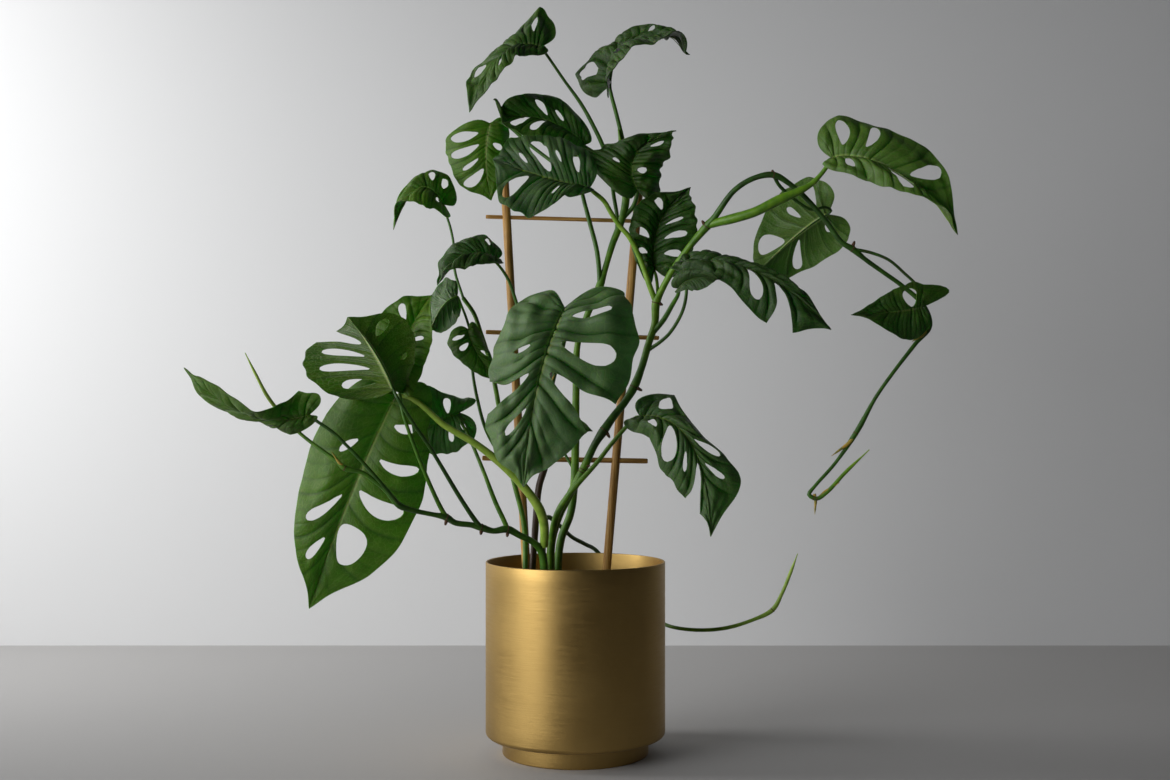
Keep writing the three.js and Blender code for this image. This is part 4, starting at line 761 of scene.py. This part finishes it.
def route_points(stops, step):
    """(centre, radius) pairs along a smooth line through (place, radius) stops, about step apart."""
    ends = [2 * stops[0][0] - stops[1][0], 2 * stops[-1][0] - stops[-2][0]]
    places = [ends[0], *(at for at, _ in stops), ends[1]]
    line = []
    for i in range(len(stops) - 1):
        p0, p1, p2, p3 = places[i:i + 4]
        gaps = [max((b - a).length, 1e-7) ** 0.5 for a, b in ((p0, p1), (p1, p2), (p2, p3))]
        leave = ((p1 - p0) / gaps[0] - (p2 - p0) / (gaps[0] + gaps[1]) + (p2 - p1) / gaps[1]) * gaps[1]
        arrive = ((p2 - p1) / gaps[1] - (p3 - p1) / (gaps[1] + gaps[2]) + (p3 - p2) / gaps[2]) * gaps[1]
        pieces = max(2, round((p2 - p1).length / step))
        for k in range(pieces):
            t = k / pieces
            at = (p1 + leave * t + (3 * (p2 - p1) - 2 * leave - arrive) * t ** 2
                  + (2 * (p1 - p2) + leave + arrive) * t ** 3)
            ease = t * t * (3 - 2 * t)
            line.append((at, stops[i][1] * (1 - ease) + stops[i + 1][1] * ease))
    line.append(stops[-1])
    return line


def tube(bm, line, sides, material=0, freshness=None):
    """A round tube along (centre, radius) pairs, closed at both ends, extruded ring by ring."""
    layer = bm.verts.layers.float.get("freshness") or bm.verts.layers.float.new("freshness")
    centre, radius = line[0]
    heading = (line[1][0] - centre).normalized()
    turned = Vector((0, 0, 1)).rotation_difference(heading).to_matrix().to_4x4()
    matrix = Matrix.Translation(centre) @ turned
    ring = bmesh.ops.create_circle(bm, segments=sides, radius=radius, cap_ends=True, matrix=matrix)["verts"]
    cap = ring[0].link_faces[0]
    if cap.normal.dot(heading) > 0:
        cap.normal_flip()
    faces = {cap}
    edges = list(cap.edges)
    for vert in ring:
        vert[layer] = freshness(0) if freshness else 0
    for i in range(1, len(line)):
        grown = bmesh.ops.extrude_edge_only(bm, edges=edges)["geom"]
        ring = [g for g in grown if isinstance(g, bmesh.types.BMVert)]
        edges = [g for g in grown if isinstance(g, bmesh.types.BMEdge)]
        faces.update(g for g in grown if isinstance(g, bmesh.types.BMFace))
        at, wide = line[i]
        ahead = line[min(i + 1, len(line) - 1)][0] - line[i - 1][0]
        turn = heading.rotation_difference(ahead).to_matrix().to_4x4()
        heading = ahead.normalized()
        grow = Matrix.Scale(wide / radius, 4)
        bmesh.ops.transform(bm, verts=ring, matrix=Matrix.Translation(at) @ grow @ turn
                            @ Matrix.Translation(-centre))
        centre, radius = at, wide
        for vert in ring:
            vert[layer] = freshness(i / (len(line) - 1)) if freshness else 0
    faces.update(bmesh.ops.contextual_create(bm, geom=edges)["faces"])
    bmesh.ops.recalc_face_normals(bm, faces=list(faces))
    for face in faces:
        face.material_index = material
    return faces


def spun(profile, steps):
    """A closed round body from its (radius, height) profile, which starts and ends on the axis."""
    bm = bmesh.new()
    verts = [bm.verts.new((radius, 0, height)) for radius, height in profile]
    edges = [bm.edges.new(pair) for pair in zip(verts, verts[1:])]
    bmesh.ops.spin(bm, geom=verts + edges, cent=(0, 0, 0), axis=(0, 0, 1), angle=2 * math.pi,
                   steps=steps, use_merge=True)
    bmesh.ops.remove_doubles(bm, verts=bm.verts, dist=1e-6)
    bmesh.ops.recalc_face_normals(bm, faces=bm.faces)
    return bm


def arc(x, z, radius, start, end, pieces):
    angles = [math.radians(start + (end - start) * i / pieces) for i in range(pieces + 1)]
    return [(x + radius * math.cos(a), z + radius * math.sin(a)) for a in angles]


# ---------- Pot ----------
def make_pot():
    """One spun shell: a straight body with a rounded lower edge on a narrower foot, and a rolled rim."""
    lip = POT_WALL / 2
    inside = POT_RADIUS - POT_WALL
    foot_inside = FOOT_RADIUS - POT_WALL
    profile = [(0, 0), (FOOT_RADIUS - 5 * FOOT_EDGE, 0)]
    profile += arc(FOOT_RADIUS - FOOT_EDGE, FOOT_EDGE, FOOT_EDGE, -90, 0, 5)
    profile += [(FOOT_RADIUS, FOOT_HEIGHT - FOOT_SEAM), (FOOT_RADIUS + FOOT_SEAM, FOOT_HEIGHT)]
    profile += arc(POT_RADIUS - POT_CORNER, FOOT_HEIGHT + POT_CORNER, POT_CORNER, -90, 0, 10)
    rows = 12
    low, high = FOOT_HEIGHT + POT_CORNER, POT_HEIGHT - lip
    profile += [(POT_RADIUS, low + (high - low) * i / rows) for i in range(1, rows)]
    profile += arc(POT_RADIUS - lip, POT_HEIGHT - lip, lip, 0, 180, 8)
    profile += [(inside, POT_HEIGHT * 0.7), (inside, FOOT_HEIGHT + POT_CORNER)]
    profile += [(foot_inside, FOOT_HEIGHT + POT_WALL), (foot_inside, POT_WALL), (0, POT_WALL)]
    finish_piece("fine_pot", spun(profile, POT_STEPS), ["brass"], "pot", sharp=35)


# ---------- Soil ----------
def make_soil():
    """Loose potting mix: a lumpy top, higher in the middle, with crumbs and bark chips lying on it."""
    rng = random.Random(5)
    bm = spun_soil()
    for _ in range(CRUMBS):
        angle, reach = rng.uniform(0, 2 * math.pi), math.sqrt(rng.random()) * SOIL_RADIUS * 0.95
        size = rng.uniform(*CRUMB_SIZE) * MM
        spot = Vector((reach * math.cos(angle), reach * math.sin(angle), 0))
        spot.z = soil_height(spot) + size * 0.2
        turn = Matrix.Rotation(rng.uniform(0, math.pi), 4, Vector((rng.random(), rng.random(), 1)))
        shape = Matrix.Diagonal((rng.uniform(0.8, 1.9), rng.uniform(0.7, 1.1), rng.uniform(0.4, 0.8), 1))
        bmesh.ops.create_icosphere(bm, subdivisions=1, radius=size,
                                   matrix=Matrix.Translation(spot) @ turn @ shape)
    finish_piece("fine_soil", bm, ["soil"], "soil", sharp=180)


def soil_height(spot):
    reach = spot.xy.length / SOIL_RADIUS
    dome = SOIL_TOP - SOIL_DROP * max(0.0, (reach - 0.7) / 0.3)
    lumps = noise.fractal(spot * SOIL_GRAIN, 1.0, 2.0, 4) * SOIL_LUMPS * MM
    return dome + lumps - LUMP_ROOM


def spun_soil():
    floor = SOIL_TOP - SOIL_SHOWN
    profile = [(0, floor), (SOIL_RADIUS - 0.5 * MM, floor)]
    profile += [(SOIL_RADIUS * (1 - i / SOIL_ROWS), SOIL_TOP) for i in range(SOIL_ROWS + 1)]
    bm = spun(profile, SOIL_STEPS)
    for vert in bm.verts:
        if vert.co.z > floor + 1 * MM:
            vert.co.z = soil_height(vert.co)
    return bm


# ---------- Ladder ----------
ROD_STEP = 4 * MM
ROD_ROUND = 0.4 * MM  # how far from an end its edge is rounded
ROD_END, ROD_EDGE = 0.72, 0.93  # shares of the radius at an end, and at ROD_ROUND from it


def rod_line(start, end, radius):
    """A straight bamboo rod with rounded ends."""
    length = (end - start).length
    pieces = max(8, round(length / ROD_STEP))
    line = [(start, radius * ROD_END), (start.lerp(end, ROD_ROUND / length), radius * ROD_EDGE)]
    line += [(start.lerp(end, i / pieces), radius) for i in range(1, pieces)]
    return line + [(end.lerp(start, ROD_ROUND / length), radius * ROD_EDGE), (end, radius * ROD_END)]


def make_ladder():
    for name, (top, foot) in CANES.items():
        upper, lower = place(top), place(foot)
        down = (lower - upper).normalized()
        end = upper + down * ((CANE_FOOT - upper.z) / down.z)
        bm = bmesh.new()
        tube(bm, rod_line(upper, end, CANE_RADIUS), CANE_SIDES)
        finish_piece("fine_" + name, bm, ["upright"], name)
    for name, (left, right, radius) in RUNGS.items():
        bm = bmesh.new()
        tube(bm, rod_line(place(left), place(right), radius * MM), RUNG_SIDES)
        finish_piece("fine_" + name, bm, ["level"], name)


# ---------- Stems ----------
STEM_PARTS = ["stem", "bud", "sheath"]
SHEATH_LENGTH = 15 * MM  # a nub longer than this is a pale sheath, and a shorter one a brown bud
# (share of a nub's length, share of its radius there)
SHEATH_SHAPE = [(0, 1), (0.35, 0.95), (0.7, 0.6), (1, 0.16)]
BUD_SHAPE = [(0, 1.15), (0.3, 1.05), (0.6, 0.85), (0.8, 0.45)]
NUB_HOOK = 0.08          # how far a nub bends aside, as a share of its length
BARK_UNEVEN, BARK_GRAIN = 0.05, 140  # a share of the radius, and swellings a metre
# The scar that rings a stem: (half widths along it, share of the stem's radius)
SCAR_HALF = 0.45 * MM
SCAR_SHAPE = [(-1, 0.98), (-0.4, 1.07), (0.4, 1.07), (1, 0.98)]


def blend_pairs(pairs):
    """A function of the share along a stem that runs through (share, value) pairs."""
    def value(share):
        for (a, low), (b, high) in zip(pairs, pairs[1:]):
            if share <= b:
                return low + (high - low) * (share - a) / (b - a)
        return pairs[-1][1]
    return value


def stops_of(route):
    return [(place(stop[:3]), stop[3] * MM) for stop in route]


def make_stem(name, route, nubs, freshness):
    bm = bmesh.new()
    stops = stops_of(route)
    stops[0][0].z = CANE_FOOT
    line = route_points(stops, STEM_STEP)
    # Young bark is never quite round or even.
    line = [(at, radius * (1 + BARK_UNEVEN * noise.noise(at * BARK_GRAIN))) for at, radius in line]
    tube(bm, line, STEM_SIDES, freshness=blend_pairs(freshness))
    for root, tip, radius in nubs:
        start, end = place(root), place(tip)
        wide = radius * MM
        long = (end - start).length > SHEATH_LENGTH
        hook = (end - start).cross(Vector((0, 1, 0))).normalized() * (end - start).length * NUB_HOOK
        stops = [(start.lerp(end, share) + hook * (share > 0), wide * grown)
                 for share, grown in (SHEATH_SHAPE if long else BUD_SHAPE)]
        tube(bm, route_points(stops, NUB_STEP), NUB_SIDES, material=2 if long else 1,
             freshness=lambda _: 0.6)
        collar(bm, line, start)
    finish_piece("fine_" + name, bm, STEM_PARTS, name, sharp=60)


def collar(bm, line, spot):
    """The thin scar that rings a stem where an old leaf or bract sat."""
    i = min(range(1, len(line) - 1), key=lambda k: (line[k][0] - spot).length)
    at, radius = line[i]
    ahead = (line[i + 1][0] - line[i - 1][0]).normalized()
    ring = [(at + ahead * SCAR_HALF * step, radius * wide) for step, wide in SCAR_SHAPE]
    tube(bm, ring, STEM_SIDES, material=1)


# ---------- Leaves ----------
def spline_margin(t):
    """The margin at a share t of the outline: a smooth curve through OUTLINE."""
    last = len(OUTLINE) - 1
    at = min(t, 0.999999) * last
    i = int(at)
    w = at - i
    p0, p1, p2, p3 = (Vector(OUTLINE[min(max(k, 0), last)]) for k in (i - 1, i, i + 1, i + 2))
    v0, v1 = (p2 - p0) / 2, (p3 - p1) / 2
    return (2 * p1 - 2 * p2 + v0 + v1) * w ** 3 + (3 * (p2 - p1) - 2 * v0 - v1) * w ** 2 + v0 * w + p1


def steady(values, at):
    i = min(int(at), CELLS - 1)
    return values[i] + (values[i + 1] - values[i]) * (at - i)


def half_width_at(along):
    above = next(i for i, (_, y) in enumerate(OUTLINE) if i > 2 and y >= along)
    (x0, y0), (x1, y1) = OUTLINE[above - 1], OUTLINE[above]
    return x0 + (x1 - x0) * (along - y0) / (y1 - y0)


def parabola(stations, values, at):
    """The parabola through three values at three stations."""
    total = Vector((0, 0, 0))
    for i, value in enumerate(values):
        share = 1.0
        for other in stations:
            if other != stations[i]:
                share *= (at - other) / (stations[i] - other)
        total += value * share
    return total


def smooth_step(value, low, high):
    t = min(max((value - low) / (high - low), 0), 1)
    return t * t * (3 - 2 * t)


class Blade:
    """A leaf in space: its midrib passes through three points, and each margin through three more."""

    MARGIN = {}

    def __init__(self, seed, midrib, left, right, camber=5, lobes=(1, 1), wave=0,
                 sweep=((0, 0), (0, 0)), curl=(0, 0, 0), crumple=1.0):
        self.midrib = [place(spot) for spot in midrib]
        self.camber = camber * MM
        self.lobes = lobes
        self.wave = wave * MM
        self.sweep = sweep
        self.curl = Vector((curl[0], curl[2], curl[1])) * MM
        self.seed = seed
        self.sides = [[(place(spot) - self.rib(s)) / half_width_at(s) for spot, s in zip(points, STATIONS)]
                      for points in (left, right)]
        self.length = sum((self.rib((i + 1) / 10) - self.rib(i / 10)).length for i in range(10))
        self.puff = PUFF * self.length * crumple
        self.crease = CREASE * self.length * crumple
        self.ruffle = RUFFLE * self.length * crumple
        self.fold = FOLD * self.length * crumple
        self.margin_wave = MARGIN_WAVE * crumple

    def rib(self, along):
        """Behind its base the midrib runs straight on."""
        point = parabola((0, 0.5, 1), self.midrib, max(along, 0))
        point += self.curl * smooth_step(along, TIP_FROM, 1.02) ** 2
        if along < 0:
            step = 0.01
            start = (parabola((0, 0.5, 1), self.midrib, step) - self.midrib[0]) / step
            point += start * along
        return point

    def side(self, half, along):
        return parabola(STATIONS, self.sides[half], min(max(along, SIDES_FROM), SIDES_TO))

    def up(self, along):
        ahead = self.rib(along + 0.02) - self.rib(along - 0.02)
        across = self.side(1, along) - self.side(0, along)
        return across.cross(ahead).normalized()

    def ends(self, cell):
        """Falls to 0 at the stalk and at the tip, where the two halves meet in a point."""
        return smooth_step(cell, 0, 0.7) * (1 - smooth_step(cell, 5.3, 5.97))

    def relief(self, half, cell, out):
        """Height over the smooth blade: side veins lie in creases, and the leaf swells between them."""
        fade = smooth_step(cell, 0.1, 0.9) * (1 - smooth_step(cell, 5.2, 5.9))
        to_vein = abs(cell - round(cell))
        swell = self.puff * (math.sin(math.pi * to_vein) ** 0.7) * smooth_step(out, 0, 0.16)
        swell *= 1 - 0.75 * smooth_step(out, 0.6, 1)
        patch = noise.noise(Vector((cell * 1.3, out * 2.5 + 3 * half, self.seed * 1.1)))
        swell *= 1 + 0.9 * patch
        crease = self.crease * math.exp(-(to_vein / VEIN_WIDTH) ** 2) * (1 - smooth_step(out, 0.7, 1))
        to_second = abs(cell * 3 - round(cell * 3)) / 3
        second = self.crease * 0.75 * math.exp(-(to_second / SECOND_WIDTH) ** 2)
        crease += second * (1 - smooth_step(out, 0.85, 1))
        crease *= 1 - 0.8 * patch
        groove = self.crease * 0.5 * math.exp(-(out / GROOVE_WIDTH) ** 2)
        edge = smooth_step(out, 0.45, 1)
        beat = math.sin(cell * 3.3 + self.seed * 2.1 + half * 1.7) + 0.6 * math.sin(cell * 6.1 + self.seed)
        fold = self.fold * noise.noise(Vector((cell * 0.9, out * 1.9 + 5 * half, self.seed * 3.7)))
        fold += self.fold * 0.45 * noise.noise(Vector((cell * 2.3, out * 4.1 + 7 * half, self.seed * 5.1)))
        ends = self.ends(cell)
        return (fade * (swell - crease - groove) + ends * self.ruffle * beat * edge * 0.5
                + ends * fold * smooth_step(out, 0, 0.5))

    def point(self, half, cell, out):
        root = steady(ROOTS, cell)
        end = self.margin(cell)
        bow = VEIN_BOW * math.sin(math.pi * out) * math.sin(math.pi * cell / CELLS)
        uneven = self.margin_wave * out ** 4 * noise.noise(Vector((cell * 2.1, 9 * half, self.seed * 2.3)))
        across = end.x * out * (1 + uneven)
        along = root + (end.y - root) * out + bow
        swept_cell, amount = self.sweep[half]
        swept = amount * math.exp(-((cell - swept_cell) / SWEEP_REACH) ** 2) * out * out
        if along < 0:
            lobed = along * self.lobes[half]
        else:
            lobed = along + DRIP_TIP * smooth_step(along, TIP_FROM, 1) + swept
        across *= 1 - 0.3 * smooth_step(along, TIP_FROM, 0.97)
        ripple = self.wave * math.sin(cell * math.pi + half) * out * out * self.ends(cell)
        height = self.camber * 4 * across * (1 - across) + ripple + self.relief(half, cell, out)
        return self.rib(lobed) + self.side(half, along) * across + self.up(along) * height

    @classmethod
    def margin(cls, cell):
        key = round(cell, 6)
        if key not in cls.MARGIN:
            cls.MARGIN[key] = spline_margin(steady(ENDS, cell))
        return cls.MARGIN[key]


class Hole:
    """A hole or open notch in one half, in (cell, out) places."""

    def __init__(self, cell, start, end, width):
        self.lean = 7 * cell + 11 * start
        self.open = end > 1
        self.middle = cell + 0.5
        self.half_width = width / 2
        if self.open:
            self.centre = start * 0.6 + 0.4
            self.reach = self.centre - start
            self.flare = min(1.3, 0.47 / self.half_width - 1)
        else:
            self.centre = (start + end) / 2
            self.reach = (end - start) / 2

    def inside(self, cell, out):
        """Below 1 in the hole and above 1 outside it."""
        across = (cell - self.middle) / self.half_width
        along = (out - self.centre) / self.reach
        if self.open and along > 0:
            # The notch opens like a trumpet, so the fingers beside it end in points.
            across /= 1 + self.flare * smooth_step(out, self.centre, 1.05)
            along = 0
        if not self.open:
            across /= 1 + 0.18 * max(min(along, 1), -1)
        uneven = 1 + 0.1 * math.sin(2 * math.atan2(along, across) + self.lean)
        return math.hypot(across, along) / uneven

    def snapped(self, cell, out):
        """The nearest place on the hole's edge, seen from its middle."""
        share = max(self.inside(cell, out), 1e-6)
        if self.open and out > self.centre:
            return self.middle + (cell - self.middle) / share, out
        return self.middle + (cell - self.middle) / share, self.centre + (out - self.centre) / share


SMOOTH_PASSES, SMOOTH_REACH = 3, 2.2  # the grid is evened out this often, and this far round a hole


def flat_half(bm, half, holes, across_steps, along_steps):
    """One half as a flat grid of (cell, out) places, with its holes cut and their edges made smooth."""
    verts = bmesh.ops.create_grid(bm, x_segments=along_steps, y_segments=across_steps, size=1)["verts"]
    for vert in verts:
        vert.co = Vector(((vert.co.x + 1) / 2 * CELLS, (vert.co.y + 1) / 2, half))
    faces = {face for vert in verts for face in vert.link_faces}
    for hole in holes:
        cut = [f for f in faces if hole.inside(*f.calc_center_median().xy) < 1]
        rim = {vert for face in cut for vert in face.verts}
        faces -= set(cut)
        bmesh.ops.delete(bm, geom=cut, context="FACES")
        rim = [vert for vert in rim if vert.is_valid]
        for vert in rim:
            vert.co.x, vert.co.y = hole.snapped(vert.co.x, vert.co.y)
        around = {v for face in faces if face.is_valid for v in face.verts
                  if hole.inside(*v.co.xy) < SMOOTH_REACH and not v.is_boundary and v.co.y > 0.02}
        for _ in range(SMOOTH_PASSES):
            bmesh.ops.smooth_vert(bm, verts=list(around), factor=0.5, use_axis_x=True, use_axis_y=True)
    return [vert for vert in verts if vert.is_valid]


SMALL_LEAF = 0.07  # a leaf shorter than this gets the coarser grid
FINE_GRID, SMALL_GRID = (26, 15), (16, 9)  # steps from midrib to margin, and in each cell


def blade_mesh(name, blade, holes):
    """The blade's sheet in space, thickened, with its upper face first and its under face second."""
    across_steps, cell_steps = FINE_GRID if blade.length > SMALL_LEAF else SMALL_GRID
    bm = bmesh.new()
    vein = bm.loops.layers.uv.new("vein")
    for half in (0, 1):
        verts = flat_half(bm, half, [Hole(*hole) for hole in holes[half]], across_steps, CELLS * cell_steps)
        for face in {face for vert in verts for face in vert.link_faces}:
            for loop in face.loops:
                loop[vein].uv = loop.vert.co.xy
        for vert in verts:
            vert.co = blade.point(half, vert.co.x, vert.co.y)
        if half == 0:
            left = {face for vert in verts for face in vert.link_faces}
            bmesh.ops.reverse_faces(bm, faces=list(left))
    bmesh.ops.remove_doubles(bm, verts=bm.verts, dist=0.02 * MM)
    loose = [vert for vert in bm.verts if not vert.link_faces]
    bmesh.ops.delete(bm, geom=loose, context="VERTS")
    sheet = mesh_from(bm, name + "_sheet", [MATERIALS["leaf_top"], MATERIALS["leaf_under"]])
    holder = put_in_scene(name + "_sheet", sheet)
    solid = holder.modifiers.new("thickness", "SOLIDIFY")
    solid.thickness = LEAF_THICK
    solid.offset = 0
    solid.material_offset = 1
    shaped = holder.evaluated_get(bpy.context.evaluated_depsgraph_get())
    thick = bpy.data.meshes.new_from_object(shaped)
    bpy.data.objects.remove(holder)
    return thick


def make_leaf(seed, name, look, holes, petiole, **shape):
    tone_and_painted_light, painted_sheen, crumple, fresh = look
    blade = Blade(seed, crumple=crumple, **shape)
    bm = bmesh.new()
    bm.verts.layers.float.new("freshness")
    bm.from_mesh(blade_mesh(name, blade, holes))

    # The stalk runs into the midrib's keel, which tapers under the blade to the tip.
    stalk = stops_of(petiole)
    thin = stalk[0][1]
    keel = []
    for i in range(KEEL_STOPS):
        along = KEEL_END - KEEL_END * i / (KEEL_STOPS - 1)
        radius = thin * (0.16 + 0.62 * (1 - along) ** 1.4)
        keel.append((blade.rib(along) - blade.up(along) * (radius * 0.75 + LEAF_THICK * 0.2), radius))
    tube(bm, route_points(keel + stalk, STEM_STEP), STALK_SIDES, material=2,
         freshness=lambda share: fresh + 0.12 * (1 - smooth_step(share, 0, 0.5)))
    piece = finish_piece("fine_" + name, bm, ["leaf_top", "leaf_under", "stem"], name, sharp=70)
    # Each leaf gets its tone, partly painted light, and its painted greyish sheen.
    for key, value in (("tone_and_painted_light", tone_and_painted_light), ("painted_sheen", painted_sheen)):
        layer = piece.data.attributes.new(key, "FLOAT", "POINT")
        layer.data.foreach_set("value", [value] * len(piece.data.vertices))


# ---------- Floor, light and camera ----------
SENSOR = 36
FRAME_WIDTH, FRAME_HEIGHT = 1170, 780
FOCAL_PIXELS = 1350     # 0.837 mm a pixel on the plane of the pot's axis
HORIZON_ROW = 427
WALL_DEPTH = 0.55       # how far behind the pot's axis the wall stands
STAGE_REACH = 4         # half the width of the floor and the wall


def plain_material(name, colour, roughness, one_sided=False):
    plain = Surface(name, colour, roughness, specular=0.2)
    if one_sided:
        clear = plain.node("BsdfTransparent")
        choice = plain.node("MixShader")
        plain.links.new(plain.node("NewGeometry").outputs["Backfacing"], choice.inputs["Fac"])
        plain.links.new(plain.shader.outputs["BSDF"], choice.inputs[1])
        plain.links.new(clear.outputs["BSDF"], choice.inputs[2])
        plain.links.new(choice.outputs["Shader"], plain.nodes["Material Output"].inputs["Surface"])
    return plain.material


def make_stage():
    """A pale floor, and a pale wall behind that shows only from the front."""
    floor = plain_material("floor", (0.5, 0.49, 0.48), 0.7)
    wall = plain_material("wall", (0.7, 0.7, 0.7), 0.8, one_sided=True)
    upright = Matrix.Translation((0, WALL_DEPTH, 0)) @ Matrix.Rotation(math.pi / 2, 4, "X")
    for material, matrix in ((floor, Matrix.Identity(4)), (wall, upright)):
        bm = bmesh.new()
        bmesh.ops.create_grid(bm, x_segments=1, y_segments=1, size=STAGE_REACH, matrix=matrix)
        thing = put_in_scene(material.name, mesh_from(bm, material.name, [material]))


def add_light(name, spot, target, size, power, colour, spread):
    light = bpy.data.lights.new(name, "AREA")
    light.shape = "RECTANGLE"
    light.size, light.size_y = size
    light.energy = power
    light.color = colour
    light.spread = math.radians(spread)
    lamp = put_in_scene(name, light)
    lamp.location = spot
    lamp.rotation_euler = (Vector(target) - Vector(spot)).to_track_quat("-Z", "Y").to_euler()
    lamp.visible_camera = False


def light_scene():
    """A window at the left, a little in front, a wash over the wall behind, and hardly any fill."""
    add_light("window", (-1.3, -0.9, 0.52), (0, 0, 0.32), (1.4, 1.1), 4.8, (0.975, 0.985, 1.0), 70)
    add_light("wall_wash", (-1.25, 0.08, 0.7), (-0.35, WALL_DEPTH, 0.5), (0.4, 1.1), 7.0, (0.99, 0.995, 1),
              120)
    world = bpy.data.worlds.new("room")
    world.use_nodes = True
    background = world.node_tree.nodes["Background"]
    background.inputs["Color"].default_value = (0.80, 0.82, 0.86, 1)
    background.inputs["Strength"].default_value = 0.035
    bpy.context.scene.world = world
    bpy.context.scene.view_settings.view_transform = "Standard"


def make_camera():
    data = bpy.data.cameras.new("camera")
    data.sensor_width = SENSOR
    data.lens = SENSOR * FOCAL_PIXELS / FRAME_WIDTH
    data.shift_y = (HORIZON_ROW - FRAME_HEIGHT / 2) / FRAME_WIDTH
    data.clip_start, data.clip_end = 0.05, 20
    camera = put_in_scene("camera", data)
    camera.location = EYE
    camera.rotation_euler = (math.pi / 2, 0, 0)
    bpy.context.scene.camera = camera


make_camera()
make_stage()
light_scene()
make_pot()
make_soil()
make_ladder()
for stem_name, stem in STEMS.items():
    make_stem(stem_name, **stem)
for seed, (leaf_name, leaf) in enumerate(LEAVES.items()):
    make_leaf(seed, leaf_name, **leaf)
